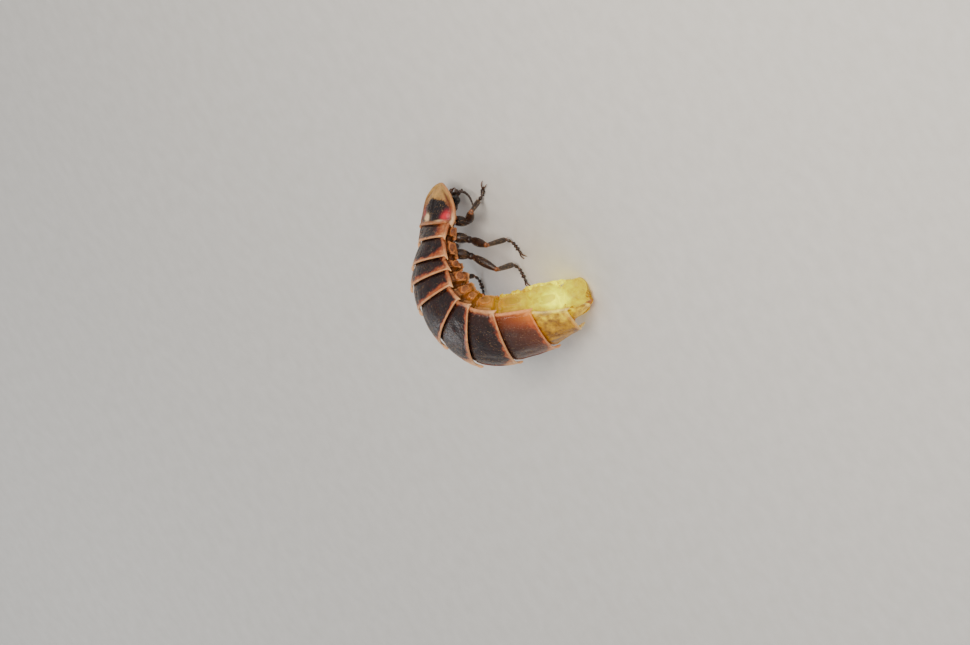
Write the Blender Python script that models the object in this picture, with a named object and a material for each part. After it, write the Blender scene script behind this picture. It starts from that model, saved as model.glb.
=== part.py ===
# Wingless female glow-worm, a beetle of the firefly family, as a still life-size model.
# The body is drawn straight, in body coordinates, and bent into its resting pose:
# head low, back arched, tail curled round to the animal's right and down to the floor.
import math

import bmesh
import bpy
from mathutils import Matrix, Vector

for old in list(bpy.data.objects):
    bpy.data.objects.remove(old, do_unlink=True)

# Sizes are in millimetres and angles in degrees. MM turns a size into metres.
MM = 0.001
PIECE_GAP = 0.3
ATTACH_GAP = 0.2

# Pose of the whole body: how far the thorax tips head down, and how high its hind ring stands.
HEAD_DOWN = 36.0
THORAX_HEIGHT = 4.98

# Rings of the body, head to tail, each at the hind edge of its segment:
# name, length, flex under, curl to the right, twist, half width, arch of the back, depth below the margin
RINGS = (
    ("prothorax", 0.00, 0.0, 0.0, 0.0, 2.15, 0.50, 1.10),
    ("mesothorax", 1.05, -2.5, 5.5, -4.5, 2.05, 0.60, 1.20),
    ("metathorax", 1.45, 7.0, 2.0, 4.5, 2.40, 0.70, 1.45),
    ("abdomen_1", 1.15, 10.5, 7.0, 1.0, 2.65, 0.85, 1.70),
    ("abdomen_2", 1.40, 8.5, 5.5, -6.0, 2.75, 0.95, 1.95),
    ("abdomen_3", 1.95, 20.0, 18.0, -3.5, 3.00, 1.00, 2.05),
    ("abdomen_4", 1.85, 20.5, 17.0, -1.0, 3.20, 1.05, 2.15),
    ("abdomen_5", 2.25, 21.5, 9.5, -5.0, 2.95, 1.00, 2.25),
    ("abdomen_6", 2.60, 5.5, 3.5, -8.0, 2.70, 0.90, 2.20),
    ("abdomen_7", 2.20, 8.5, -2.5, -14.0, 2.00, 0.70, 2.00),
    ("abdomen_8", 1.50, 14.0, 3.0, -14.0, 1.10, 0.40, 1.00),
)
METATHORAX = 2

# Each back plate steps in from the plate before it, rises to its hind edge,
# and has hind corners that reach back past the flesh.
THORAX_STEP = 0.25
ABDOMEN_STEP = 0.40
PLATE_RISE = 0.22
PLATE_DEPTH = 0.50
MARGIN_DEPTH = 0.36
MARGIN_OVERHANG = 0.48
SKIN_UNDER_PLATE = 0.20
CORNER_REACH = 0.26
MIDDLE_LEAD = -0.14
PLATE_LIP = 0.05

# Belly plates: share of the half width, depth, and how far each stands proud at its front and hind edge.
# The plates of the light organ are swollen, and the last of them reaches forward as a lip.
BELLY_SHARE = 0.60
BELLY_SPAN = (0.12, 0.90)
BELLY_EDGE = 0.35
BELLY_PLATE_ROOT = 0.29
BELLY_PLATE_DEPTH = 0.45
BELLY_RISE = (0.16, 0.16)
LANTERN_RISE = {"abdomen_6": (0.16, 0.30), "abdomen_7": (0.75, 0.62)}
LANTERN_LIP = {"abdomen_7": 0.45}
LANTERN_SPREAD = 0.06

# Soft flanks and underside
SHOULDER_DROP = 0.25
FLANK_BULGE = 0.06
BELLY_ROUND = 0.22

# Small plates along each flank
FLANK_PLATE_LENGTH = 0.56
FLANK_PLATE_HEIGHT = 0.30
FLANK_PLATE_RISE = 0.14
FLANK_PLATE_CROWN = 0.02
FLANK_PLATE_ROOT = 0.26
FLANK_PLATE_LEVEL = 0.52
FLANK_PLATE_SIDES = 10
FLANK_FULL_DEPTH = 1.90

# Last segment
TAIL_HALF_WIDTH = 1.35
TAIL_ARCH = 0.10
TAIL_DEPTH = 1.95
TAIL_DROP = 0.40
TAIL_HEEL = 0.35
TAIL_TIP_LEVEL = -0.85
TAIL_SIDES = 20
TAIL_LOBE_SPREAD = 0.34
TAIL_LOBE_RADIUS = 0.30

# Shield over the head
SHIELD_LENGTH = 3.10
SHIELD_HALF_WIDTH = 2.28
SHIELD_THICKNESS = 0.50
SHIELD_TURN_DOWN = 0.20
SHIELD_DROOP = 0.25

# Soft prothorax under the shield
PROTHORAX_HALF_WIDTH = 1.60
PROTHORAX_HALF_HEIGHT = 0.66
PROTHORAX_DROP = 0.46

# Head, eyes and feelers
HEAD_BACK = 1.35
HEAD_LENGTH = 1.25
HEAD_HALF_WIDTH = 0.72
HEAD_HALF_HEIGHT = 0.46
HEAD_DROP = 0.95
EYE_RADIUS = 0.32
EYE_BULGE = 0.28
FEELER_RADIUS = 0.25
FEELER_JOINTS = 11

# Legs: lengths of hip, thigh, shin and foot, and the radii along them
LEG_SIZES = {
    "fore": (0.60, 1.40, 1.35, 1.15),
    "mid": (0.65, 1.90, 1.85, 1.40),
    "hind": (0.70, 2.20, 2.20, 1.55),
}
HIP_ALONG = 0.40
HIP_SPREAD = {"mid": 0.85, "hind": 0.95}
HIP_RADIUS = 0.42
RING_RADIUS = 0.27
THIGH_RADIUS = 0.37
KNEE_RADIUS = 0.26
SHIN_RADIUS = 0.30
ANKLE_RADIUS = 0.20
ANKLE_HEIGHT = 0.47
FOOT_RADIUS = 0.25
FOOT_JOINTS = 4
FOOT_FLAT = 0.05
CLAW_LENGTH = 0.38
CLAW_RADIUS = 0.11
CLAW_CURVE = ((-0.25, 0.06, 0.0), (0.25, 0.12, -0.02), (0.65, 0.22, 0.02), (1.0, 0.30, 0.09))

# Where each foot's ankle stands, ahead of and to the left of the metathorax ring, and the way the foot points
FOOT_PLACES = {
    "leg_fore_right": (2.00, -1.95, -50.0),
    "leg_mid_right": (-1.05, -2.60, -165.0),
    "leg_hind_right": (-2.85, -1.90, 175.0),
    "leg_fore_left": (2.20, 2.10, 40.0),
    "leg_mid_left": (-0.30, 3.30, 115.0),
    "leg_hind_left": (-2.80, 3.20, 160.0),
}

COLOURS = {
    "plate": (0.030, 0.012, 0.008),
    "skin": (0.55, 0.24, 0.10),
    "shield": (0.45, 0.25, 0.10),
    "horn": (0.020, 0.012, 0.008),
    "eye": (0.005, 0.005, 0.006),
    "lantern": (0.80, 0.85, 0.15),
}


def finish(colour, roughness):
    """Principled material of one of the colours above."""
    name = colour
    if name in bpy.data.materials:
        return bpy.data.materials[name]
    material = bpy.data.materials.new(name)
    material.use_nodes = True
    shader = material.node_tree.nodes["Principled BSDF"]
    shader.inputs["Base Color"].default_value = (*COLOURS[colour], 1.0)
    shader.inputs["Roughness"].default_value = roughness
    shader.inputs["Metallic"].default_value = 0.0
    return material


def turn(flex, curl, twist):
    """Rotation that bends the body's axis by the three angles."""
    about_length = Matrix.Rotation(math.radians(twist), 3, "X")
    about_side = Matrix.Rotation(math.radians(-flex), 3, "Y")
    about_back = Matrix.Rotation(math.radians(curl), 3, "Z")
    return about_length @ about_side @ about_back


def build_chain():
    """Centre and axes of every ring: columns are forward, left and up in the body."""
    centres = [Vector((0.0, 0.0, 0.0))]
    axes = [Matrix.Identity(3)]
    for length, flex, curl, twist in (ring[1:5] for ring in RINGS[1:]):
        half_turn = turn(flex / 2, curl / 2, twist / 2)
        middle = axes[-1] @ half_turn
        centres.append(centres[-1] - length * middle.col[0])
        axes.append(middle @ half_turn)
    stance = Matrix.Rotation(math.radians(HEAD_DOWN), 3, "Y") @ axes[METATHORAX].transposed()
    foot_of_chain = stance @ centres[METATHORAX]
    lift = Vector((0.0, 0.0, THORAX_HEIGHT))
    return [(stance @ c - foot_of_chain + lift, stance @ m) for c, m in zip(centres, axes)]


CHAIN = build_chain()


def body_frame(k, v):
    """Centre and axes at fraction v of segment k, on a smooth curve through the rings."""
    start, start_axes = CHAIN[k - 1]
    end, end_axes = CHAIN[k]
    length = RINGS[k][1]
    t = min(max(v, 0.0), 1.0)
    mixed = start_axes.to_quaternion().slerp(end_axes.to_quaternion(), t)
    axes = mixed.to_matrix()
    h00 = 2 * t**3 - 3 * t**2 + 1
    h10 = t**3 - 2 * t**2 + t
    h01 = 3 * t**2 - 2 * t**3
    h11 = t**3 - t**2
    centre = h00 * start + h01 * end
    centre -= length * (h10 * start_axes.col[0] + h11 * end_axes.col[0])
    centre -= (v - t) * length * axes.col[0]
    return centre, axes


def place(k, v, y, z):
    """Point at fraction v of segment k, y to the left of the middle and z above the margin."""
    centre, axes = body_frame(k, v)
    forward, left, up = axes.col
    shrink = PIECE_GAP / 2 * (2 * v - 1)
    return centre + y * left + z * up + shrink * forward


def place_front(x, y, z):
    """Point x ahead of the prothorax ring, y to its left and z above it."""
    centre, axes = CHAIN[0]
    forward, left, up = axes.col
    return centre + x * forward + y * left + z * up


def new_object(name, points, faces, colour, roughness=0.4):
    """Object with one closed mesh, its faces outward."""
    mesh = bpy.data.meshes.new(name)
    mesh.from_pydata([p * MM for p in points], [], faces)
    shell = bmesh.new()
    shell.from_mesh(mesh)
    bmesh.ops.recalc_face_normals(shell, faces=shell.faces)
    bmesh.ops.triangulate(shell, faces=shell.faces)
    shell.to_mesh(mesh)
    shell.free()
    mesh.materials.append(finish(colour, roughness))
    mesh.shade_smooth()
    mesh.set_sharp_from_angle(angle=math.radians(40))
    obj = bpy.data.objects.new(name, mesh)
    bpy.context.collection.objects.link(obj)
    return obj


def loft(name, rings, ends, colour, roughness=0.4):
    """Closed skin over rings of equal count, with a fan to a middle point at each end."""
    count = len(rings[0])
    points = [p for ring in rings for p in ring]
    faces = []
    for i in range(len(rings) - 1):
        for j in range(count):
            a = i * count + j
            b = i * count + (j + 1) % count
            faces.append((a, b, b + count, a + count))
    for middle, row in zip(ends, (0, len(rings) - 1)):
        hub = len(points)
        points.append(middle)
        for j in range(count):
            a = row * count + j
            b = row * count + (j + 1) % count
            faces.append((a, b, hub))
    return new_object(name, points, faces, colour, roughness)


def fuse(obj, others):
    """One Boolean union of the object with the others, keeping its largest closed surface."""
    group = bpy.data.collections.new(obj.name + "_pieces")
    for other in others:
        group.objects.link(other)
    union = obj.modifiers.new("union", "BOOLEAN")
    union.operation = "UNION"
    union.operand_type = "COLLECTION"
    union.collection = group
    union.solver = "EXACT"
    graph = bpy.context.evaluated_depsgraph_get()
    graph.update()
    joined = bpy.data.meshes.new_from_object(obj.evaluated_get(graph), depsgraph=graph)
    obj.modifiers.clear()
    obj.data = joined
    for other in others:
        bpy.data.objects.remove(other, do_unlink=True)
    bpy.data.collections.remove(group)
    keep_largest(obj)
    return obj


def keep_largest(obj):
    """Drop every closed surface but the largest, and weld the points that all but meet."""
    shell = bmesh.new()
    shell.from_mesh(obj.data)
    bmesh.ops.remove_doubles(shell, verts=shell.verts, dist=0.004 * MM)
    bmesh.ops.dissolve_degenerate(shell, edges=shell.edges, dist=0.002 * MM)
    bmesh.ops.triangulate(shell, faces=shell.faces)
    unseen = set(shell.faces)
    parts = []
    while unseen:
        queue = [unseen.pop()]
        part = list(queue)
        while queue:
            face = queue.pop()
            for edge in face.edges:
                for other in edge.link_faces:
                    if other in unseen:
                        unseen.remove(other)
                        queue.append(other)
                        part.append(other)
        parts.append(part)
    parts.sort(key=lambda part: sum(face.calc_area() for face in part))
    scraps = [face for part in parts[:-1] for face in part]
    bmesh.ops.delete(shell, geom=scraps, context="FACES")
    shell.to_mesh(obj.data)
    shell.free()
    obj.data.shade_smooth()
    obj.data.set_sharp_from_angle(angle=math.radians(40))


def cut_floor(obj, level):
    """Cut the object flat at a height above the floor, and close the cut."""
    shell = bmesh.new()
    shell.from_mesh(obj.data)
    geometry = shell.verts[:] + shell.edges[:] + shell.faces[:]
    cut = bmesh.ops.bisect_plane(
        shell,
        geom=geometry,
        dist=0.0005 * MM,
        plane_co=(0.0, 0.0, level * MM),
        plane_no=(0.0, 0.0, -1.0),
        clear_outer=True,
    )
    rim = [e for e in cut["geom_cut"] if isinstance(e, bmesh.types.BMEdge)]
    bmesh.ops.holes_fill(shell, edges=rim)
    bmesh.ops.triangulate(shell, faces=shell.faces)
    bmesh.ops.recalc_face_normals(shell, faces=shell.faces)
    shell.to_mesh(obj.data)
    shell.free()


def margin_lead(share):
    """How far ahead of the corner tips the hind edge of a plate lies, by share of the half width."""
    return CORNER_REACH + MIDDLE_LEAD * (1 - share * share)


def plate_step(k):
    """How much narrower a back plate starts than the plate before it ends."""
    return THORAX_STEP if k <= METATHORAX else ABDOMEN_STEP


def section(k, v):
    """Half width, arch and depth at fraction v of segment k."""
    fore = RINGS[k - 1]
    hind = RINGS[k]
    front_width = fore[5] - plate_step(k)
    t = min(max(v, 0.0), 1.0)
    width = front_width + (hind[5] - front_width) * t**0.7
    arch = fore[6] + (hind[6] - fore[6]) * v + PLATE_RISE * (v - 0.5)
    depth = fore[7] + (hind[7] - fore[7]) * v
    return width, arch, depth


def flesh_ring(k, v):
    """Cross section of the soft body at fraction v of segment k."""
    width, arch, depth = section(k, v)
    flank = width - MARGIN_OVERHANG
    half = []
    for share in (0.0, 0.3, 0.6, 0.85, 1.0):
        y = share * flank
        z = arch * (1 - (y / width) ** 2) - SKIN_UNDER_PLATE
        half.append((y, z - SHOULDER_DROP * share**8))
    half += [
        (flank + FLANK_BULGE, -0.42 * depth),
        (flank + FLANK_BULGE / 3, -0.62 * depth),
        (flank - BELLY_ROUND, -0.84 * depth),
    ]
    for share in (0.58, 0.30, 0.0):
        half.append((share * width, -depth + BELLY_ROUND * share**2))
    right = [(-y, z) for y, z in half[-2:0:-1]]
    ring = []
    for y, z in half + right:
        back_share = min(abs(y) / width, 1.0) if z > 0 else 1.0
        ring.append(place(k, v - margin_lead(back_share) / RINGS[k][1], y, z))
    return ring


def flesh_hub(k, v):
    """Middle of the soft body's cross section, for the fan that closes an end."""
    width, arch, depth = section(k, v)
    return place(k, v - margin_lead(0.5) / RINGS[k][1], 0.0, (arch - depth) / 2)


def build_flesh(k):
    """Soft body of one segment."""
    rings = [flesh_ring(k, v) for v in (0.0, 0.33, 0.67, 1.0)]
    ends = (flesh_hub(k, 0.0), flesh_hub(k, 1.0))
    return loft("flesh", rings, ends, "skin")


def build_back_plate(k):
    """Arched plate over the back of one segment, with free margins and hind corners."""
    across = (0.0, 0.28, 0.55, 0.78, 0.91, 1.0)
    across = tuple(-share for share in across[:0:-1]) + across
    length = RINGS[k][1]
    lip = PLATE_LIP / length
    top = []
    bottom = []
    for v in (0.0, 0.35, 0.7, 1.0):
        width, arch, depth = section(k, v)
        for share in across:
            lead = margin_lead(share)
            hind_lead = 0.0 if abs(share) == 1.0 else lead
            s = v - ((1 - v) * lead + v * hind_lead) / length + lip * (2 * v - 1)
            y = share * width
            z = arch * (1 - share**2)
            thick = PLATE_DEPTH + (MARGIN_DEPTH - PLATE_DEPTH) * abs(share)
            top.append(place(k, s, y, z))
            bottom.append(place(k, s, y, z - thick))
    return plate("back_plate", top, bottom, len(across), "plate")


def build_belly_plate(k):
    """Plate under one segment, swollen where it carries the light organ."""
    name, length = RINGS[k][:2]
    fore_rise, hind_rise = LANTERN_RISE.get(name, BELLY_RISE)
    half_share = BELLY_SHARE + (LANTERN_SPREAD if name in LANTERN_RISE else 0.0)
    first = BELLY_SPAN[0] - LANTERN_LIP.get(name, 0.0) / length
    last = BELLY_SPAN[1]
    across = (-1.0, -0.8, -0.4, 0.0, 0.4, 0.8, 1.0)
    top = []
    bottom = []
    for v, ease in ((first, 0.8), (first + 0.15, 1.0), ((first + last) / 2, 1.0), (last - 0.12, 1.0), (last, 0.8)):
        width, _, depth = section(k, v)
        rise = ease * (fore_rise + (hind_rise - fore_rise) * (v - first) / (last - first))
        for share in across:
            skin = -depth + BELLY_ROUND * (BELLY_SHARE * share) ** 2
            z = skin - rise * (1 - BELLY_EDGE * share**4)
            root = z + BELLY_PLATE_DEPTH if v < 0.0 else skin + BELLY_PLATE_ROOT
            s = v - margin_lead(1.0) / length
            top.append(place(k, s, share * half_share * width, root))
            bottom.append(place(k, s, share * half_share * width, z))
    return plate("belly_plate", top, bottom, len(across), "plate")


def build_flank_plate(k, side):
    """Small oval plate on one flank, its root sunk in the soft body."""
    width, _, depth = section(k, 0.5)
    flank = width - MARGIN_OVERHANG + FLANK_BULGE
    level = -FLANK_PLATE_LEVEL * depth
    height = FLANK_PLATE_HEIGHT * min(depth / FLANK_FULL_DEPTH, 1.0)
    middle = 0.5 - margin_lead(1.0) / RINGS[k][1]
    rings = []
    for reach, size in ((-FLANK_PLATE_ROOT, 0.9), (0.0, 1.0), (FLANK_PLATE_RISE, 0.72)):
        ring = []
        for i in range(FLANK_PLATE_SIDES):
            angle = 2 * math.pi * i / FLANK_PLATE_SIDES
            v = middle + size * FLANK_PLATE_LENGTH / 2 * math.cos(angle)
            z = level + size * height * math.sin(angle)
            ring.append(place(k, v, side * (flank + reach), z))
        rings.append(ring)
    ends = (
        place(k, middle, side * (flank - FLANK_PLATE_ROOT), level),
        place(k, middle, side * (flank + FLANK_PLATE_RISE + FLANK_PLATE_CROWN), level),
    )
    return loft("flank_plate", rings, ends, "plate")


def build_segments():
    """Body segments from the mesothorax to the seventh of the abdomen, each fused from its plates."""
    made = []
    for k in range(1, len(RINGS) - 1):
        pieces = [build_flesh(k), build_belly_plate(k)]
        pieces += [build_flank_plate(k, side) for side in (1, -1)]
        segment = fuse(build_back_plate(k), pieces)
        rename(segment, RINGS[k][0])
        made.append(segment)
    return made


def rename(obj, name):
    """Give an object and its mesh the node's name."""
    obj.name = name
    obj.data.name = name


def build_tail():
    """Last segment: a rounded lobe that bends under, with two small lobes at its tip."""
    k = len(RINGS) - 1
    length = RINGS[k][1]
    rings = []
    for v in (0.0, 0.18, 0.4, 0.62, 0.8, 0.93):
        swell = math.sqrt(1 - (0.97 * v) ** 2.6)
        full = math.sqrt(1 - (0.97 * v) ** 7)
        half = TAIL_HALF_WIDTH * (swell + full) / 2
        ring = []
        for i in range(TAIL_SIDES):
            angle = 2 * math.pi * i / TAIL_SIDES
            y = half * math.sin(angle)
            up = math.cos(angle)
            reach = TAIL_ARCH * swell if up > 0 else TAIL_DEPTH * full
            z = reach * math.copysign(abs(up) ** 0.7, up)
            lead = margin_lead(min(abs(y) / TAIL_HALF_WIDTH, 1.0))
            forward = (1 - v) * lead - v * TAIL_HEEL * max(-up, 0.0)
            ring.append(place(k, v - forward / length, y, z - TAIL_DROP))
        rings.append(ring)
    middle = (TAIL_ARCH - TAIL_DEPTH) / 2 - TAIL_DROP
    ends = (
        place(k, -margin_lead(0.5) / length, 0.0, middle),
        place(k, 0.97, 0.0, TAIL_TIP_LEVEL),
    )
    tail = loft("tail", rings, ends, "lantern")
    lobes = []
    for side in (1, -1):
        path = [
            place(k, v, side * TAIL_LOBE_SPREAD, TAIL_TIP_LEVEL - drop)
            for v, drop in ((0.55, 0.0), (0.8, 0.03), (1.0, 0.06), (1.12, 0.08))
        ]
        radii = [TAIL_LOBE_RADIUS * share for share in (0.8, 1.0, 0.85, 0.4)]
        lobes.append(tube("tail_lobe", path, radii, 8, "lantern"))
    tail = fuse(tail, lobes)
    rename(tail, RINGS[k][0])
    return tail


def shield_half_width(x):
    """Half width of the shield at a distance ahead of its hind edge."""
    share = min(max((x - 0.55) / (SHIELD_LENGTH - 0.55), 0.0), 1.0)
    waist = 1 - 0.05 * (1 - min(x / 0.55, 1.0))
    return SHIELD_HALF_WIDTH * waist * (1 - 0.975 * share**2.0) ** 0.72


def shield_height(x, y):
    """Height of the shield's upper face: a domed disc inside flatter, turned-down margins."""
    share = y / SHIELD_HALF_WIDTH
    along = x / SHIELD_LENGTH
    dome = RINGS[0][6] * max(1 - share**2, 0.0) ** 1.3 * (1 - 0.35 * along**2)
    return dome - SHIELD_TURN_DOWN * share**4 - SHIELD_DROOP * along**3


def build_shield():
    """Shield-shaped plate over the head."""
    across = (0.0, 0.3, 0.58, 0.8, 0.92, 1.0)
    across = tuple(-share for share in across[:0:-1]) + across
    top = []
    bottom = []
    for x in (0.0, 0.35, 0.9, 1.5, 2.05, 2.5, 2.82, 3.02, SHIELD_LENGTH):
        half = shield_half_width(x)
        for share in across:
            fade = max(1 - x / 0.9, 0.0)
            lead = 0.0 if abs(share) == 1.0 else margin_lead(share)
            forward = x + (lead + PIECE_GAP / 2) * fade
            y = share * half
            z = shield_height(x, y)
            thick = SHIELD_THICKNESS * (1 - 0.25 * abs(share))
            top.append(place_front(forward, y, z))
            bottom.append(place_front(forward, y, z - thick))
    return plate("pronotum", top, bottom, len(across), "shield")


def plate(name, top, bottom, columns, colour, roughness=0.4):
    """Closed plate between two grids of points that are split alike."""
    count = len(top)
    rows = count // columns
    points = top + bottom
    faces = []
    for r in range(rows - 1):
        for c in range(columns - 1):
            a = r * columns + c
            b = a + 1
            d = a + columns
            e = d + 1
            faces += [(a, b, e), (a, e, d)]
            faces += [(a + count, e + count, b + count), (a + count, d + count, e + count)]
    rim = list(range(columns))
    rim += [r * columns + columns - 1 for r in range(1, rows)]
    rim += [(rows - 1) * columns + c for c in range(columns - 2, -1, -1)]
    rim += [r * columns for r in range(rows - 2, 0, -1)]
    for i, a in enumerate(rim):
        b = rim[(i + 1) % len(rim)]
        faces.append((a, b, b + count))
        faces.append((a, b + count, a + count))
    return new_object(name, points, faces, colour, roughness)


def oval_ring(at, x, half_width, half_height, drop, count=16):
    """Oval cross section at x in the frame of the prothorax."""
    ring = []
    for i in range(count):
        angle = 2 * math.pi * i / count
        ring.append(at(x, half_width * math.sin(angle), half_height * math.cos(angle) - drop))
    return ring


def build_prothorax():
    """Fleshy prothorax under the hind part of the shield."""
    rings = []
    for x, fill in ((0.40, 0.96), (0.70, 1.0), (1.05, 0.74)):
        half = PROTHORAX_HALF_WIDTH * fill
        high = PROTHORAX_HALF_HEIGHT * (0.4 + 0.6 * fill)
        rings.append(oval_ring(place_front, x, half, high, PROTHORAX_DROP))
    ends = (place_front(0.40, 0, -PROTHORAX_DROP), place_front(1.05, 0, -PROTHORAX_DROP))
    return loft("prothorax_flesh", rings, ends, "skin")


def head_place(share, y, z):
    """Point at a share of the head's length, y to its left and z above its middle."""
    return place_front(HEAD_BACK + share * HEAD_LENGTH, y, z - HEAD_DROP)


def build_head():
    """Small head under the shield, narrow between the eyes, with its jaws, palps and upper lip."""
    profile = ((0.0, 0.80), (0.16, 1.0), (0.34, 0.66), (0.8, 0.62), (0.95, 0.5), (1.0, 0.34))
    rings = []
    for share, fill in profile:
        x = HEAD_BACK + share * HEAD_LENGTH
        half = HEAD_HALF_WIDTH * fill
        high = HEAD_HALF_HEIGHT * (1 - 0.5 * share**3)
        rings.append(oval_ring(place_front, x, half, high, HEAD_DROP, 14))
    ends = (head_place(0.0, 0, 0), head_place(1.0, 0, 0))
    skull = loft("head", rings, ends, "horn")
    mouth = []
    for side in (1, -1):
        jaw = [
            head_place(share, side * y, -0.04)
            for share, y in ((0.78, 0.22), (1.0, 0.25), (1.14, 0.19), (1.22, 0.07))
        ]
        mouth.append(tube("jaw", jaw, [0.15, 0.13, 0.09, 0.04], 6, "horn"))
        palp = [
            head_place(share, side * y, z)
            for share, y, z in ((0.7, 0.2, -0.2), (0.95, 0.3, -0.34), (1.1, 0.36, -0.4), (1.24, 0.34, -0.5))
        ]
        mouth.append(tube("palp", palp, [0.14, 0.13, 0.14, 0.07], 6, "horn"))
    lip = []
    for share, half in ((0.85, 0.20), (1.0, 0.22), (1.08, 0.16)):
        lip.append(oval_ring(head_place, share, half, 0.07, -0.16, 8))
    mouth.append(loft("lip", lip, (head_place(0.85, 0, 0.16), head_place(1.08, 0, 0.16)), "horn"))
    return fuse(skull, mouth)


def build_eye(name, side):
    """Domed eye, its flat inner face held off the side of the head."""
    inner = HEAD_HALF_WIDTH * 0.66 + ATTACH_GAP
    middle = 0.57
    rings = []
    for lean in (0, 30, 60):
        radius = EYE_RADIUS * math.cos(math.radians(lean))
        y = side * (inner + EYE_BULGE * math.sin(math.radians(lean)))
        ring = []
        for i in range(12):
            angle = 2 * math.pi * i / 12
            share = middle + radius * math.sin(angle) / HEAD_LENGTH
            ring.append(head_place(share, y, radius * math.cos(angle)))
        rings.append(ring)
    ends = (head_place(middle, side * inner, 0), head_place(middle, side * (inner + EYE_BULGE), 0))
    return loft(name, rings, ends, "eye", 0.15)


def smooth_path(knots, steps):
    """Points on a Catmull-Rom curve through the knots."""
    path = []
    ends = [2 * knots[0] - knots[1]] + list(knots) + [2 * knots[-1] - knots[-2]]
    for i in range(1, len(ends) - 2):
        p0, p1, p2, p3 = ends[i - 1:i + 3]
        for step in range(steps):
            t = step / steps
            path.append(
                0.5 * (2 * p1 + (p2 - p0) * t + (2 * p0 - 5 * p1 + 4 * p2 - p3) * t**2
                       + (3 * p1 - p0 - 3 * p2 + p3) * t**3)
            )
    path.append(knots[-1].copy())
    return path


def tube(name, path, radii, sides, colour, roughness=0.4):
    """Round tube along a path, with one radius for each point."""
    rings = []
    normal = None
    for i, point in enumerate(path):
        before = path[max(i - 1, 0)]
        after = path[min(i + 1, len(path) - 1)]
        along = (after - before).normalized()
        if normal is None:
            normal = along.orthogonal().normalized()
        normal = (normal - along * normal.dot(along)).normalized()
        across = along.cross(normal)
        ring = []
        for j in range(sides):
            angle = 2 * math.pi * j / sides
            ring.append(point + radii[i] * (math.cos(angle) * normal + math.sin(angle) * across))
        rings.append(ring)
    return loft(name, rings, (path[0], path[-1]), colour, roughness)


def walk(path, share):
    """Point at a share of the path's length."""
    steps = [(b - a).length for a, b in zip(path, path[1:])]
    left = share * sum(steps)
    for a, b, step in zip(path, path[1:], steps):
        if left <= step:
            return a.lerp(b, left / step)
        left -= step
    return path[-1].copy()


def build_feeler(name, side):
    """Short thread-like feeler of eleven joints that hangs from the front of the head."""
    knots = [
        place_front(2.42, side * 0.62, -HEAD_DROP - 0.18),
        place_front(2.62, side * 1.02, -HEAD_DROP - 0.26),
        place_front(2.42, side * 1.32, -HEAD_DROP - 0.55),
        place_front(1.95, side * 1.42, -HEAD_DROP - 0.82),
    ]
    curve = smooth_path(knots, 8)
    path = []
    radii = []
    for joint in range(FEELER_JOINTS):
        taper = 1 - 0.45 * joint / FEELER_JOINTS
        for spot, fill in ((0.06, 0.78), (0.55, 1.0)):
            path.append(walk(curve, (joint + spot) / FEELER_JOINTS))
            radii.append(FEELER_RADIUS * taper * fill)
    path.append(curve[-1])
    radii.append(FEELER_RADIUS * 0.3)
    return tube(name, path, radii, 8, "horn")


def hip_place(pair, side):
    """Point on the underside of the thorax that a leg grows from, and the way it points."""
    if pair == "fore":
        axes = CHAIN[0][1]
        base = place_front(0.70, side * 0.80, -PROTHORAX_DROP - PROTHORAX_HALF_HEIGHT - PIECE_GAP)
    else:
        k = 1 if pair == "mid" else METATHORAX
        axes = body_frame(k, HIP_ALONG)[1]
        depth = section(k, HIP_ALONG)[2] + BELLY_RISE[0] + PIECE_GAP
        base = place(k, HIP_ALONG, side * HIP_SPREAD[pair], -depth)
    outward = (side * 0.5 * axes.col[1] - axes.col[2]).normalized()
    return base, outward


def knee_of(hip_end, ankle, thigh, shin, bulge):
    """Knee of a two-piece limb that spans from the hip's end to the ankle."""
    span = ankle - hip_end
    reach = min(span.length, 0.985 * (thigh + shin))
    near = (thigh**2 - shin**2 + reach**2) / (2 * reach)
    rise = math.sqrt(max(thigh**2 - near**2, 0.0))
    along = span.normalized()
    lift = (bulge - along * bulge.dot(along)).normalized()
    return hip_end + near * along + rise * lift


def leg_points(name, pair, side):
    """Hip, knee, ankle and toe of one leg."""
    hip, thigh, shin, foot = LEG_SIZES[pair]
    base, outward = hip_place(pair, side)
    hip_end = base + hip * outward
    forward, left, heading = FOOT_PLACES[name]
    ankle = Vector((forward, left, ANKLE_HEIGHT))
    angle = math.radians(heading)
    toe = ankle + foot * Vector((math.cos(angle), math.sin(angle), 0.0))
    toe.z = FOOT_RADIUS - FOOT_FLAT
    knee = knee_of(hip_end, ankle, thigh, shin, Vector((0.0, side * 0.8, 1.0)))
    return base, hip_end, knee, ankle, toe


def limb_profile(hip_end, knee, ankle):
    """Points and radii of thigh and shin, each swollen along its length and waisted at the knee."""
    thigh = ((0.17, RING_RADIUS), (0.36, THIGH_RADIUS), (0.64, THIGH_RADIUS), (0.90, KNEE_RADIUS))
    shin = (
        (0.10, 0.92 * KNEE_RADIUS),
        (0.35, 0.88 * SHIN_RADIUS),
        (0.75, SHIN_RADIUS),
        (0.93, 0.80 * SHIN_RADIUS),
    )
    path = [hip_end.lerp(knee, share) for share, radius in thigh]
    path += [knee.lerp(ankle, share) for share, radius in shin]
    return path, [radius for share, radius in thigh + shin]


def foot_profile(ankle, toe):
    """Points and radii of the foot's joints, which come down from the ankle to lie along the floor."""
    path = []
    radii = []
    for joint in range(FOOT_JOINTS):
        for spot, fill in ((0.12, 0.76), (0.72, 1.0)):
            share = (joint + spot) / FOOT_JOINTS
            point = ankle.lerp(toe, share)
            point.z = toe.z + (ankle.z - toe.z) * max(1 - share / 0.35, 0.0) ** 1.5
            path.append(point)
            radii.append(FOOT_RADIUS * fill * (1 - 0.1 * share))
    return path[1:], radii[1:]


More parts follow.
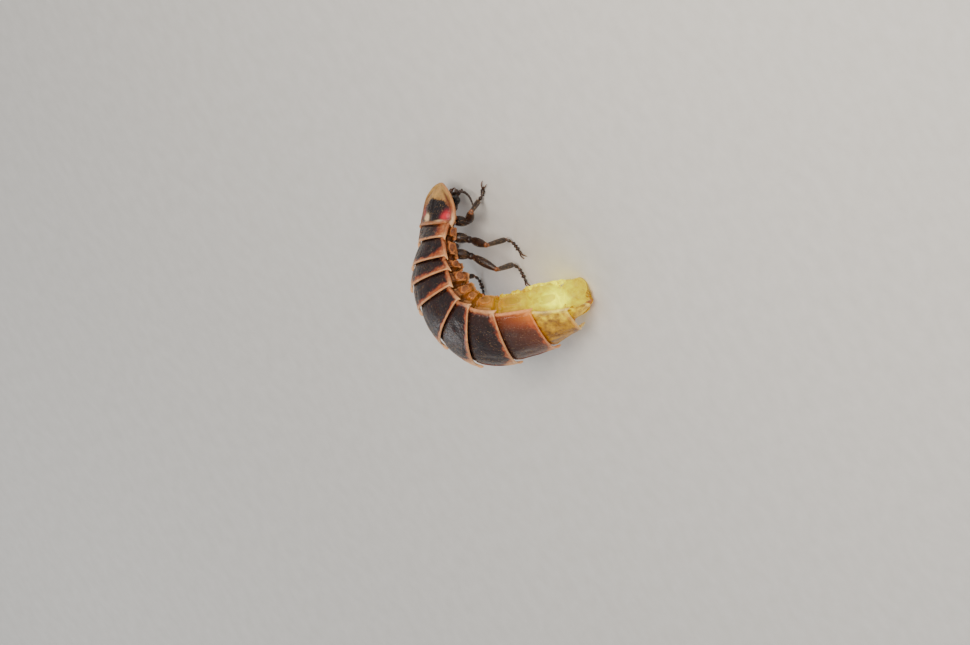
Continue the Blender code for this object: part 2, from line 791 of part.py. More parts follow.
def build_claws(ankle, toe):
    """Two curved claws at the end of a foot."""
    along = toe - ankle
    along.z = 0.0
    along.normalize()
    across = Vector((-along.y, along.x, 0.0))
    claws = []
    for side in (1, -1):
        path = []
        for reach, spread, drop in CLAW_CURVE:
            point = toe + CLAW_LENGTH * reach * along + side * spread * across
            point.z = toe.z - drop
            path.append(point)
        radii = [CLAW_RADIUS, CLAW_RADIUS, 0.7 * CLAW_RADIUS, 0.35 * CLAW_RADIUS]
        claws.append(tube("claw", path, radii, 6, "horn"))
    return claws


def build_leg(name, pair, side):
    """One leg from hip to claws, cut flat where the foot stands."""
    base, hip_end, knee, ankle, toe = leg_points(name, pair, side)
    path = [base, base.lerp(hip_end, 0.35), base.lerp(hip_end, 0.80), hip_end]
    radii = [0.86 * HIP_RADIUS, HIP_RADIUS, 0.82 * HIP_RADIUS, RING_RADIUS]
    limb_path, limb_radii = limb_profile(hip_end, knee, ankle)
    foot_path, foot_radii = foot_profile(ankle, toe)
    path += limb_path + [ankle] + foot_path + [toe]
    radii += limb_radii + [ANKLE_RADIUS] + foot_radii + [0.5 * FOOT_RADIUS]
    leg = fuse(tube(name, path, radii, 10, "horn"), build_claws(ankle, toe))
    cut_floor(leg, 0.0)
    return leg


def centre_on_floor(objects):
    """Shift every object so that the whole stands over the origin."""
    xs = [v.co.x for obj in objects for v in obj.data.vertices]
    ys = [v.co.y for obj in objects for v in obj.data.vertices]
    shift = Vector(((min(xs) + max(xs)) / 2, (min(ys) + max(ys)) / 2, 0.0))
    for obj in objects:
        for vertex in obj.data.vertices:
            vertex.co -= shift


def build_glow_worm():
    """The whole animal."""
    made = [fuse(build_shield(), [build_prothorax()]), build_head()]
    for side, word in ((1, "left"), (-1, "right")):
        made.append(build_eye("eye_" + word, side))
        made.append(build_feeler("antenna_" + word, side))
        for pair in LEG_SIZES:
            made.append(build_leg("leg_" + pair + "_" + word, pair, side))
    made += build_segments()
    tail = build_tail()
    cut_floor(tail, 0.0)
    made.append(tail)
    centre_on_floor(made)
    return made


build_glow_worm()
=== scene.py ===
# Wingless female glow-worm as a life-size museum model: finishes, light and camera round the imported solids
import math
from functools import reduce

import bpy
import numpy as np
from mathutils import Matrix, Vector, noise


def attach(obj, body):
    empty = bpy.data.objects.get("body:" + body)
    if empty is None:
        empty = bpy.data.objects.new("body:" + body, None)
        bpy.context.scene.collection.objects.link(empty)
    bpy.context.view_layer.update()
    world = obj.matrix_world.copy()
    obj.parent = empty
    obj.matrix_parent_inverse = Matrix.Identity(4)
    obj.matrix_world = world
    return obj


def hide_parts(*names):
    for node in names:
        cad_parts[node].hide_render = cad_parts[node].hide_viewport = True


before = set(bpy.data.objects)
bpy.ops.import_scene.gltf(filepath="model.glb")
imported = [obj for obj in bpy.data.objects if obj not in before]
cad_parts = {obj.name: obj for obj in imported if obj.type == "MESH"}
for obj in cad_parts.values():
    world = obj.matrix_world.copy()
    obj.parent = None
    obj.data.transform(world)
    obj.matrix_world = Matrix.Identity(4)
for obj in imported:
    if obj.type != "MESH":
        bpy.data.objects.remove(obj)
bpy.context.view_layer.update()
mm = 0.001
print("frame loaded,", len(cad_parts), "solids")

# body, head to tail, one row for the ring at the hind edge of each segment:
# name, length, flex under, curl right, twist, half width, arch of the back, depth below the margin
bodyRings = [
    ("prothorax", 0.00, 0.0, 0.0, 0.0, 2.15, 0.50, 1.10),
    ("mesothorax", 1.05, -2.5, 5.5, -4.5, 2.05, 0.60, 1.20),
    ("metathorax", 1.45, 7.0, 2.0, 4.5, 2.40, 0.70, 1.45),
    ("abdomen_1", 1.15, 10.5, 7.0, 1.0, 2.65, 0.85, 1.70),
    ("abdomen_2", 1.40, 8.5, 5.5, -6.0, 2.75, 0.95, 1.95),
    ("abdomen_3", 1.95, 20.0, 18.0, -3.5, 3.00, 1.00, 2.05),
    ("abdomen_4", 1.85, 20.5, 17.0, -1.0, 3.20, 1.05, 2.15),
    ("abdomen_5", 2.25, 21.5, 9.5, -5.0, 2.95, 1.00, 2.25),
    ("abdomen_6", 2.60, 5.5, 3.5, -8.0, 2.70, 0.90, 2.20),
    ("abdomen_7", 2.20, 8.5, -2.5, -14.0, 2.00, 0.70, 2.00),
    ("abdomen_8", 1.50, 14.0, 3.0, -14.0, 1.10, 0.40, 1.00),
]
bodyForm = {
    "headDown": 36.0,                     # degrees that the thorax tips forward
    "thoraxOver": (2.24, 1.786, 4.98),    # mm, where the metathorax ring stands over the floor
    "thoraxStep": 0.25, "abdomenStep": 0.40,   # how much narrower a plate starts than the last one ends
    "plateRise": 0.22,                    # a back plate rises this much to its hind edge
    "cornerReach": 0.26, "middleLead": -0.14,  # a hind edge lies ahead of its corner tips
    "overhang": 0.48,                     # the back plates stand out past the flanks
}
segments = range(1, len(bodyRings))
tail = len(bodyRings) - 1


def rotation(axis, degrees):
    return np.array(Matrix.Rotation(math.radians(degrees), 3, axis))


def ringChain():  # centre and axes of each ring, columns forward, left and up in the body
    centres, axes = [np.zeros(3)], [np.eye(3)]
    for length, flex, curl, twist in (ring[1:5] for ring in bodyRings[1:]):
        half = rotation("X", twist / 2) @ rotation("Y", -flex / 2) @ rotation("Z", curl / 2)
        middle = axes[-1] @ half
        centres.append(centres[-1] - length * middle[:, 0])
        axes.append(middle @ half)
    stance = rotation("Y", bodyForm["headDown"]) @ axes[2].T
    over = np.array(bodyForm["thoraxOver"])
    return [(stance @ (c - centres[2]) + over, stance @ a) for c, a in zip(centres, axes)]


chain = ringChain()
ringAt = np.cumsum([ring[1] for ring in bodyRings])  # mm along the body from the first ring


def framesAt(k, v):  # centres and axes at fractions v of segment k, on a smooth curve through the rings
    (start, startAxes), (end, endAxes) = chain[k - 1], chain[k]
    length = bodyRings[k][1]
    t = np.clip(v, 0, 1)
    axis, angle = Matrix(startAxes.T @ endAxes).to_quaternion().to_axis_angle()
    skew = np.cross(np.eye(3), np.array(axis))
    turned = angle * t[..., None, None]
    axes = startAxes @ (np.eye(3) + np.sin(turned) * skew + (1 - np.cos(turned)) * (skew @ skew))
    u = t[..., None]
    centre = (2 * u**3 - 3 * u**2 + 1) * start + (3 * u**2 - 2 * u**3) * end
    centre = centre - length * ((u**3 - 2 * u**2 + u) * startAxes[:, 0] + (u**3 - u**2) * endAxes[:, 0])
    return centre - ((v - t) * length)[..., None] * axes[..., :, 0], axes


def place(k, v, y, z):  # points of segment k: v along it, y mm to the left, z mm above the plate margins
    v, y, z = np.broadcast_arrays(*(np.asarray(a, float) for a in (v, y, z)))
    centre, axes = framesAt(k, v)
    return centre + y[..., None] * axes[..., :, 1] + z[..., None] * axes[..., :, 2]


def placeAlong(distance, y, z):  # same, by mm along the whole body; less than 0 is ahead of the first ring
    points = np.zeros(distance.shape + (3,))
    owner = np.clip(np.searchsorted(ringAt, distance, side="right"), 1, tail)
    for k in segments:
        here = owner == k
        points[here] = place(k, (distance[here] - ringAt[k - 1]) / bodyRings[k][1], y[here], z[here])
    return points


def placeFront(x, y, z):  # x mm ahead of the first ring, in the prothorax's own axes
    x, y, z = np.broadcast_arrays(*(np.asarray(a, float) for a in (x, y, z)))
    centre, axes = chain[0]
    return centre + np.stack([x, y, z], -1) @ axes.T


def section(k, v):  # half width, arch and depth of segment k, as in the solids
    fore, hind = bodyRings[k - 1], bodyRings[k]
    front = fore[5] - (bodyForm["thoraxStep"] if k <= 2 else bodyForm["abdomenStep"])
    width = front + (hind[5] - front) * np.clip(v, 0, 1) ** 0.7
    arch = fore[6] + (hind[6] - fore[6]) * v + bodyForm["plateRise"] * (v - 0.5)
    return width, arch, fore[7] + (hind[7] - fore[7]) * v


def marginLead(share):  # mm that a hind edge lies ahead of its corner tips
    return bodyForm["cornerReach"] + bodyForm["middleLead"] * (1 - share**2)


def soft(low, high, x):  # soft step from 0 to 1
    t = np.clip((x - low) / (high - low), 0, 1)
    return t * t * (3 - 2 * t)


def bump(x, width):  # soft hump, 1 at 0
    return np.exp(-(x / width) ** 2)


def ridge(away, shape):  # ridge or groove along a line, from its height, distance and width in mm
    height, at, width = shape
    return height * bump(away - at, width)


def crowded(low, high, count, crowd):  # spaced values that crowd towards both ends
    t = np.linspace(0, 1, count)
    return low + (high - low) * (t - crowd * np.sin(2 * math.pi * t) / (2 * math.pi))


def lumps(points, size, seed=0.0):  # soft noise from -1 to 1, lumps about size mm across
    flat = points.reshape(-1, points.shape[-1]) / size + seed
    return np.array([noise.noise(p) for p in flat]).reshape(points.shape[:-1])


def grains(points, spacing, seed=0.0):  # 1 on top of a grain, 0 between grains
    flat = points.reshape(-1, 3) / spacing + seed
    near = np.array([noise.voronoi(p)[0][0] for p in flat]).reshape(points.shape[:-1])
    return np.clip(1 - near / 0.55, 0, 1) ** 0.7


lightCore = {  # heart of the light organ, and mm that its light goes through soft skin and through plates
    "segment": 9, "along": 0.62, "left": -1.1, "up": -0.95, "reach": 4.8, "plateReach": 3.1, "heart": 0.75,
}


def glowAt(points, reach="reach"):  # how strongly the light shows through: 0 to 1, and up to 2 at its heart
    core = place(lightCore["segment"], lightCore["along"], lightCore["left"], lightCore["up"])
    away = np.linalg.norm(points - core, axis=-1)
    return bump(away, lightCore[reach]) + (reach == "reach") * bump(away, lightCore["heart"])


def least(*distances):
    return reduce(np.minimum, distances)


def spline(p0, p1, p2, p3, t):  # smooth curve that goes from p1 to p2 while t goes from 0 to 1
    return 0.5 * (2 * p1 + (p2 - p0) * t + (2 * p0 - 5 * p1 + 4 * p2 - p3) * t**2
                  + (3 * p1 - p0 - 3 * p2 + p3) * t**3)


def throughKnots(knots, count):  # smooth open curve through knots of any dimension
    knots = np.asarray(knots, float)
    padded = np.concatenate([[2 * knots[0] - knots[1]], knots, [2 * knots[-1] - knots[-2]]])
    at = np.linspace(0, len(knots) - 1, count)
    i = np.minimum(at.astype(int), len(knots) - 2)
    return spline(*(padded[i + step] for step in range(4)), (at - i)[:, None])


def throughRing(corners, count):  # smooth closed curve through corners, along the second to last axis
    n = corners.shape[-2]
    at = np.linspace(0, n, count, endpoint=False)
    i, t = at.astype(int), (at % 1)[:, None]
    return spline(*(corners[..., (i + step) % n, :] for step in (-1, 0, 1, 2)), t)


# A shell is points in mm, faces, and named marks that its material reads at each point

def linked(name, data):
    obj = bpy.data.objects.new(name, data)
    bpy.context.collection.objects.link(obj)
    return obj


def newObject(name, points, edges=(), faces=(), marks=None):  # a mark is a number or a direction per point
    mesh = bpy.data.meshes.new(name)
    mesh.from_pydata((np.asarray(points) * mm).tolist(), edges, faces)
    for mark, values in (marks or {}).items():
        values = np.asarray(values, np.float32)
        kind, field = ("FLOAT", "value") if values.ndim == 1 else ("FLOAT_VECTOR", "vector")
        layer = mesh.attributes.new(mark, kind, "POINT")
        layer.data.foreach_set(field, values.ravel())
    return linked(name, mesh)


def joined(shells):
    points, faces, marks, start = [], [], {mark: [] for mark in shells[0][2]}, 0
    for shellPoints, shellFaces, shellMarks in shells:
        points.append(shellPoints)
        faces += [tuple(i + start for i in f) for f in shellFaces]
        start += len(shellPoints)
        for mark in marks:
            marks[mark].append(shellMarks[mark])
    return np.concatenate(points), faces, {mark: np.concatenate(v) for mark, v in marks.items()}


def dress(obj, material, nodes):  # finish, ride, and stand in for the solids
    obj.data.materials.clear()
    obj.data.materials.append(material)
    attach(obj, "root")
    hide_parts(*nodes)
    print(obj.name, "made,", len(obj.data.polygons), "faces")


def makePiece(name, shell, material, nodes):
    points, faces, marks = shell
    points = points.copy()
    points[:, 2] = np.maximum(points[:, 2], 0.003)  # nothing goes down into the floor
    obj = newObject(name, points, (), faces, marks)
    obj.data.shade_smooth()
    dress(obj, material, nodes)


def unit(vectors):
    return vectors / np.maximum(np.linalg.norm(vectors, axis=-1, keepdims=True), 1e-9)


def gridNormals(grid, up):  # unit normals of rows and columns of points, on the side of up
    facing = unit(np.cross(np.gradient(grid, axis=1), np.gradient(grid, axis=0)))
    return facing * np.sign((facing * up).sum(axis=-1).mean())


def ringNormals(rings):
    around = np.roll(rings, -1, axis=1) - np.roll(rings, 1, axis=1)
    facing = unit(np.cross(around, np.gradient(rings, axis=0)))
    outward = rings - rings.mean(axis=1, keepdims=True)
    return facing * np.sign((facing * outward).sum(axis=-1).mean())


def sheetOf(grid, outward, back=1):  # surface for bristles, with the way out and the way they lie
    return grid, unit(outward), unit(np.gradient(grid, axis=0)) * back


def facedOut(points, faces):  # faces of a closed shell that all run one way round, turned to point outward
    fans = np.array([(f[0], f[i], f[i + 1]) for f in faces for i in range(1, len(f) - 1)])
    a, b, c = (points[fans[:, i]] - points.mean(axis=0) for i in range(3))
    return faces if (np.cross(a, b) * c).sum() > 0 else [f[::-1] for f in faces]


def plateShell(surface, facing, thick, relief, fromEdge, marks):  # plate under a surface, with a round edge
    radius = thick / 2
    half = radius * np.sqrt(1 - (1 - np.clip(fromEdge / radius, 0, 1)) ** 2)
    half[0], half[-1], half[:, 0], half[:, -1] = 0, 0, 0, 0
    middle = surface - facing * radius[..., None]
    eased = relief * np.clip(fromEdge / 0.06, 0, 1)
    top = middle + facing * (half + eased)[..., None]
    bottom = middle - facing * half[..., None]
    rows, cols = top.shape[:2]
    topIndex = np.arange(rows * cols).reshape(rows, cols)
    inner = np.zeros((rows, cols), bool)
    inner[1:-1, 1:-1] = True
    lowIndex = topIndex.copy()
    lowIndex[inner] = rows * cols + np.arange(inner.sum())
    faces = []
    for index, way in ((topIndex, 1), (lowIndex, -1)):
        corners = [index[:-1, :-1], index[:-1, 1:], index[1:, 1:], index[1:, :-1]][::way]
        faces += np.stack([c.ravel() for c in corners], -1).tolist()
    points = np.concatenate([top.reshape(-1, 3), bottom[inner]])
    marks = {name: np.concatenate([v.ravel(), v[inner]]) for name, v in marks.items()}
    return points, facedOut(points, faces), marks


def tubeShell(rings, marks, ends=None):  # rings of equal count, closed by a fan to a point at each end
    rows, cols = rings.shape[:2]
    index = np.arange(rows * cols).reshape(rows, cols)
    after = np.roll(index, -1, axis=1)
    faces = np.stack([index[:-1], after[:-1], after[1:], index[1:]], -1).reshape(-1, 4).tolist()
    faces += [(after[0, j], index[0, j], rows * cols) for j in range(cols)]
    faces += [(index[-1, j], after[-1, j], rows * cols + 1) for j in range(cols)]
    points = np.concatenate([rings.reshape(-1, 3), rings[[0, -1]].mean(axis=1) if ends is None else ends])
    marks = {name: np.concatenate([v.ravel(), v[[0, -1]].mean(axis=1)]) for name, v in marks.items()}
    return points, facedOut(points, faces), marks


def limb(path, radii, around, flat, marks, sheets=None):  # tube along a path; flat squeezes it upright
    path = np.asarray(path, float)
    along = unit(np.gradient(path, axis=0))
    side = unit(np.cross(along, (0.0, 0.0, 1.0)))
    over = np.cross(side, along)
    angle = np.linspace(0, 2 * math.pi, around, endpoint=False)[:, None]
    radii = np.asarray(radii, float)
    turn = side[:, None] * np.cos(angle) + over[:, None] * np.sin(angle) * flat
    uneven = 1 + 0.05 * lumps(path[:, None] + 0.3 * turn, 0.14)
    rings = path[:, None] + (radii[:, None] * uneven)[..., None] * turn
    if sheets is not None:
        wrapped = np.concatenate([rings, rings[:, :1]], axis=1)
        sheets.append(sheetOf(wrapped, wrapped - path[:, None]))
    marks = {name: np.repeat(np.asarray(v, float)[:, None], around, axis=1) for name, v in marks.items()}
    return tubeShell(rings, marks, path[[0, -1]])


# Node trees

def linear(hexColour):  # sRGB hex to the linear values that nodes take
    parts = [int(hexColour[i:i + 2], 16) / 255 for i in (1, 3, 5)]
    return (*[c / 12.92 if c <= 0.04045 else ((c + 0.055) / 1.055) ** 2.4 for c in parts], 1.0)


def addNode(tree, kind, inputs=(), out=0, **settings):  # inputs are values, hex colours, or outputs to link
    node = tree.nodes.new(kind)
    for key, value in settings.items():
        setattr(node, key, value)
    for key, value in inputs.items() if isinstance(inputs, dict) else enumerate(inputs):
        if isinstance(value, bpy.types.NodeSocket):
            tree.links.new(value, node.inputs[key])
        else:
            isHex = isinstance(value, str) and value.startswith("#")
            node.inputs[key].default_value = linear(value) if isHex else value
    return node.outputs[out] if len(node.outputs) else node


def newMaterial(name, **uniform):  # uniform values go straight on the shader
    material = bpy.data.materials.new(name)
    material.use_nodes = True
    tree = material.node_tree
    shader = tree.nodes["Principled BSDF"]
    for key, value in uniform.items():
        shader.inputs[key.replace("_", " ")].default_value = value
    return material, tree, shader, addNode(tree, "ShaderNodeTexCoord", out="Object")


def feed(tree, shader, **links):
    for key, value in links.items():
        tree.links.new(value, shader.inputs[key.replace("_", " ")])


def blotches(tree, at, size, low=0.0, high=1.0, sharp=0.2):  # soft noise from low to high, lumps of size mm
    values = {"Vector": at, "Scale": 1 / (size * mm), "Detail": 4.0, "Roughness": 0.55}
    cloud = addNode(tree, "ShaderNodeTexNoise", values)
    return addNode(tree, "ShaderNodeMapRange", [cloud, 0.5 - sharp, 0.5 + sharp, low, high])


def ragged(tree, mark, at, size, depth):  # a mark that the mesh carries, its border torn up by noise
    shown = addNode(tree, "ShaderNodeAttribute", out="Fac", attribute_name=mark)
    torn = blotches(tree, at, size, -depth / 2, depth / 2)
    return addNode(tree, "ShaderNodeMath", [shown, torn], operation="ADD")


def stained(tree, mark, under, colour, start=0.0, full=1.0):  # colour over under, from start to full
    if isinstance(mark, str):
        mark = addNode(tree, "ShaderNodeAttribute", out="Fac", attribute_name=mark)
    share = addNode(tree, "ShaderNodeMapRange", [mark, start, full])
    return addNode(tree, "ShaderNodeMix", {0: share, 6: under, 7: colour}, 2, data_type="RGBA")


def grained(tree, shader, at, spacing, height, fineSize, fineHeight):  # round grains under finer ones, mm
    near = addNode(tree, "ShaderNodeTexVoronoi", {"Vector": at, "Scale": 1 / (spacing * mm)})
    dome = addNode(tree, "ShaderNodeMapRange", [near, 0.05, 0.65, 1.0, 0.0], interpolation_type="SMOOTHSTEP")
    coarse = addNode(tree, "ShaderNodeBump", {"Height": dome, "Distance": height * mm})
    fine = addNode(tree, "ShaderNodeTexNoise", {"Vector": at, "Scale": 1 / (fineSize * mm)})
    both = addNode(tree, "ShaderNodeBump", {"Height": fine, "Distance": fineHeight * mm, "Normal": coarse})
    feed(tree, shader, Normal=both)


def litFrom(tree, shader, shade, faint, strong, strength):  # light of the organ, through the surface
    glow = addNode(tree, "ShaderNodeAttribute", out="Fac", attribute_name="glow")
    seen = addNode(tree, "ShaderNodeMath", [glow, shade], operation="MULTIPLY")
    faded = addNode(tree, "ShaderNodeMath", [seen, 1.5], operation="POWER")
    feed(tree, shader, Emission_Color=stained(tree, seen, faint, strong, 0.3, 1.1),
         Emission_Strength=addNode(tree, "ShaderNodeMath", [faded, strength], operation="MULTIPLY"))


def tannedPlate():
    # Tanned cuticle of the back, hardened dark: near black with a red cast, glossy and finely grained.
    # Its free edges stay untanned, so it passes through singed red to orange there. The cream is pale corners
    # with a painted highlight along the hind edges. The real grains are finer than the picture shows, so they
    # are drawn 0.1 mm apart.
    material, tree, shader, at = newMaterial("tannedBackCuticle", IOR=1.56)
    dark = stained(tree, blotches(tree, at, 0.6), "#0e0607", "#2c110c")
    edge = stained(tree, blotches(tree, at, 0.3), "#7a2c0a", "#bc5a20")
    # cream: pale corners, and a painted highlight along the hind edges
    highlighted = stained(tree, ragged(tree, "creamAndHighlight", at, 0.25, 0.4), edge, "#f8bc82")
    torn = ragged(tree, "band", at, 0.22, 0.42)
    singed = stained(tree, torn, dark, "#5e1e0e", 0.10, 0.42)
    base = stained(tree, torn, singed, highlighted, 0.36, 0.80)
    feed(tree, shader, Base_Color=stained(tree, "glow", base, "#8a5a10"),
         Roughness=addNode(tree, "ShaderNodeMapRange", [torn, 0.2, 0.8, 0.32, 0.48]))
    litFrom(tree, shader, 1.0, "#ff5000", "#f0b400", 1.2)
    grained(tree, shader, at, 0.10, 0.011, 0.05, 0.006)
    return material


def litPlate():
    # Thin untanned cuticle over the light organ: amber glass, yellow-green where the light is near.
    material, tree, shader, at = newMaterial("thinLitCuticle", IOR=1.54)
    streak = blotches(tree, at, 0.5)
    amber = stained(tree, streak, "#4e2200", "#c09800")
    # pale where the cream mark is, partly a painted highlight
    pale = stained(tree, "creamAndHighlight", "#d8983a", "#f8e890")
    banded = stained(tree, "band", amber, pale, 0.3, 0.7)
    feed(tree, shader, Base_Color=stained(tree, "glow", banded, "#766400", 0.3, 1.2),
         Roughness=blotches(tree, at, 0.5, 0.28, 0.46))
    litFrom(tree, shader, blotches(tree, at, 0.5, 0.40, 1.20), "#d86800", "#fce800", 1.1)
    grained(tree, shader, at, 0.11, 0.008, 0.06, 0.006)
    return material


def lanternSkin():
    # Clear cuticle over the light organ, smooth and waxy: milky yellow-green, white where it is brightest.
    # Browner and dimmer where the groove mark is high: mottled spots, rings on the tail lobes, and the groove
    # along the lantern plates' edges, which is painted shade.
    material, tree, shader, at = newMaterial("clearLanternCuticle", IOR=1.48, Subsurface_Weight=0.15,
                                             Subsurface_Scale=0.3 * mm, Subsurface_Radius=(1.0, 1.0, 0.3))
    body = stained(tree, blotches(tree, at, 0.28), "#8a7400", "#c8c010")
    # browner in the groove mark: painted shade where it follows the edge groove
    feed(tree, shader, Base_Color=stained(tree, "groove", body, "#8a4c04"),
         Roughness=blotches(tree, at, 0.28, 0.30, 0.45))
    clump = blotches(tree, at, 0.28, 0.68, 1.10)
    groove = addNode(tree, "ShaderNodeAttribute", out="Fac", attribute_name="groove")
    dimmed = addNode(tree, "ShaderNodeMapRange", [groove, 0.0, 1.0, 1.05, 0.45])
    shade = addNode(tree, "ShaderNodeMath", [clump, dimmed], operation="MULTIPLY")
    litFrom(tree, shader, shade, "#f8a800", "#f8fa00", 1.12)
    grained(tree, shader, at, 0.16, 0.004, 0.14, 0.030)
    return material


def foldedSkin():
    # Soft membrane between the plates, unhardened and moist: orange-tan, with a painted highlight on its
    # crests and painted shade, dark brown, in its folds.
    material, tree, shader, at = newMaterial("foldedPleuralMembrane", IOR=1.44, Subsurface_Weight=0.2,
                                             Subsurface_Scale=0.25 * mm, Subsurface_Radius=(1.0, 0.45, 0.25))
    tint = blotches(tree, at, 0.7)
    flank = stained(tree, tint, "#8e4218", "#c8763a")
    body = stained(tree, "belly", flank, stained(tree, tint, "#8e5136", "#c98d5e"))
    # painted highlight on the crests, then painted shade in the folds
    highlighted = stained(tree, "ridge", body, "#ffc48a")
    deep = stained(tree, "groove", highlighted, "#481a0a")
    feed(tree, shader, Base_Color=stained(tree, "glow", deep, "#766400", 0.15, 0.9),
         Roughness=addNode(tree, "ShaderNodeMapRange", [tint, 0.0, 1.0, 0.36, 0.5]))
    litFrom(tree, shader, blotches(tree, at, 0.45, 0.78, 1.10), "#f89a10", "#f8fa00", 1.12)
    grained(tree, shader, at, 0.05, 0.006, 0.10, 0.03)
    return material


def flankCuticle():
    # Small half-tanned plates of flanks and belly: brown like thin horn, paler to the rim, satin.
    material, tree, shader, at = newMaterial("halfTannedFlankCuticle", IOR=1.54)
    brown = stained(tree, blotches(tree, at, 0.35, sharp=0.18), "#44200e", "#985226")
    horn = stained(tree, ragged(tree, "band", at, 0.20, 0.7), brown, "#c67a40", 0.05, 0.75)
    feed(tree, shader, Base_Color=stained(tree, "glow", horn, "#766400", 0.15, 0.9),
         Roughness=blotches(tree, at, 0.35, 0.28, 0.44))
    litFrom(tree, shader, 1.0, "#f09000", "#f6ee00", 0.85)
    grained(tree, shader, at, 0.09, 0.008, 0.04, 0.002)
    return material


def shieldHorn():
    # Thin horn of the shield: tan and part see-through round a dark disc, with blood-pink windows behind.
    # Its cream spots are partly a painted highlight, and the groove inside the rim is darkened as painted
    # shade.
    material, tree, shader, at = newMaterial("translucentShieldHorn", IOR=1.54, Subsurface_Weight=0.15,
                                             Subsurface_Scale=0.2 * mm, Subsurface_Radius=(1.0, 0.6, 0.25))
    tint = blotches(tree, at, 0.5)
    side = stained(tree, tint, "#62290e", "#aa5e26")
    colour = stained(tree, "front", side, stained(tree, tint, "#9c7430", "#dcae66"))
    # paler rim, and darker in the groove inside the rim: painted shade
    for mark, hexColour in (("rim", "#cc8a50"), ("groove", "#6e3012")):
        colour = stained(tree, mark, colour, hexColour)
    colour = stained(tree, ragged(tree, "disc", at, 0.5, 0.12), colour, "#180a09", 0.3, 0.7)
    # pink windows, and cream spots that are partly a painted highlight
    for mark, hexColour in (("pink", "#dc2c3c"), ("creamAndHighlight", "#fcd8a8")):
        colour = stained(tree, mark, colour, hexColour)
    feed(tree, shader, Base_Color=colour,
         Roughness=addNode(tree, "ShaderNodeMapRange", [tint, 0.0, 1.0, 0.30, 0.46]))
    grained(tree, shader, at, 0.10, 0.012, 0.05, 0.006)
    return material


def limbHorn():
    # Fully tanned cuticle of head and limbs: brown-black, semi-gloss, reddish where the joints thin out.
    material, tree, shader, at = newMaterial("tannedLimbCuticle", IOR=1.56)
    dark = stained(tree, blotches(tree, at, 0.3), "#1a0f0b", "#3a2114")
    feed(tree, shader, Base_Color=stained(tree, "joint", dark, "#9a5a30"),
         Roughness=blotches(tree, at, 0.3, 0.26, 0.42))
    grained(tree, shader, at, 0.06, 0.006, 0.03, 0.001)
    return material


def plainHorn(name, size, dark, pale, smooth, rough, **uniform):  # blotched in colour and gloss, no grains
    material, tree, shader, at = newMaterial(name, **uniform)
    feed(tree, shader, Base_Color=stained(tree, blotches(tree, at, size), dark, pale),
         Roughness=blotches(tree, at, size, smooth, rough))
    return material


plateFinish, litFinish, lanternFinish, skinFinish = tannedPlate(), litPlate(), lanternSkin(), foldedSkin()
flankFinish, shieldFinish, hornFinish = flankCuticle(), shieldHorn(), limbHorn()
# Clear lenses over dark pigment: black with a wet shine, broken up by the facets
eyeFinish = plainHorn("facettedEyeLens", 0.12, "#050506", "#1c120e", 0.10, 0.20,
                      IOR=1.50, Coat_Weight=0.6, Coat_Roughness=0.08)
# Short bristles of clear cuticle: pale gold, and they catch the light along their length
setaFinish = plainHorn("paleGoldenSeta", 0.4, "#96683a", "#e4c08c", 0.28, 0.40, IOR=1.55)
print("materials made")

# Skin: one soft form from the neck to the tip of the tail, folded between the segments

skinForm = {
    "rowsPerMm": 14, "around": 180,
    "underPlate": 0.30, "shoulderDrop": 0.25, "bulge": 0.06, "bellyRound": 0.22,   # mm, as in the solids
    "foldDepth": 0.20, "foldWidth": 0.15,      # grooves between segments
    "pleatDepth": 0.11, "pleatWidth": 0.020,   # grooves along the flank, width as a share of the way round
    "pleats": (0.425, 0.465, 0.66, 0.73),      # their places, 0 on the back and 1 under the belly
    "wrinkle": 0.050,
    "lobe": 0.34, "tailLobes": 0.28, "lanternBed": 0.36,  # swellings: flank, lit tail, under the last lantern
    "neckReach": 1.75,                         # mm ahead of the first ring, inside the back of the head
}
tailForm = {"halfWidth": 1.35, "arch": 0.10, "depth": 1.95, "drop": 0.40, "heel": 0.35, "tipLevel": -0.85}
neckRings = [  # mm ahead, half width, half height, drop of the soft prothorax and neck
    (0.00, 1.60, 0.72, 0.46), (0.45, 1.56, 0.68, 0.46), (0.80, 1.50, 0.64, 0.47),
    (1.10, 1.12, 0.54, 0.55), (1.35, 0.72, 0.42, 0.80), (1.55, 0.60, 0.38, 0.92), (1.75, 0.52, 0.32, 0.95),
]
backShares = (0.0, 0.3, 0.6, 0.85, 1.0)


def trunkHalf(k, v):  # half of the cross section, top to bottom, as rows of along, left, up
    width, arch, depth = section(k, v)
    flank = width - bodyForm["overhang"]
    half = []
    for share in backShares:
        y = share * flank
        z = arch * (1 - (y / width) ** 2) - skinForm["underPlate"] - skinForm["shoulderDrop"] * share**8
        half.append((-marginLead(y / width if z > 0 else 1.0), y, z))
    lead, bulge = -marginLead(1.0), skinForm["bulge"]
    half += [(lead, flank + bulge, -0.42 * depth), (lead, flank + bulge / 3, -0.62 * depth),
             (lead, flank - skinForm["bellyRound"], -0.84 * depth)]
    half += [(lead, share * width, -depth + skinForm["bellyRound"] * share**2) for share in (0.58, 0.30, 0.0)]
    return np.array(half)


def neckHalf(x):
    knots = np.array(neckRings)
    half, high, drop = (np.interp(x, knots[:, 0], knots[:, i]) for i in (1, 2, 3))
    angle = np.linspace(0, math.pi, 11)
    return np.stack([np.zeros(11), half * np.sin(angle), high * np.cos(angle) - drop], -1)


def tailHalf(v):
    swell, full = math.sqrt(1 - (0.97 * v) ** 2.6), math.sqrt(1 - (0.97 * v) ** 7)
    angle = np.linspace(0, math.pi, 11)
    up = np.cos(angle)
    y = tailForm["halfWidth"] * (swell + full) / 2 * np.sin(angle)
    reach = np.where(up > 0, tailForm["arch"] * swell, tailForm["depth"] * full)
    z = reach * np.sign(up) * np.abs(up) ** 0.7 - tailForm["drop"]
    ahead = (1 - v) * marginLead(y / tailForm["halfWidth"]) - v * tailForm["heel"] * np.maximum(-up, 0)
    return np.stack([-ahead, y, z], -1)


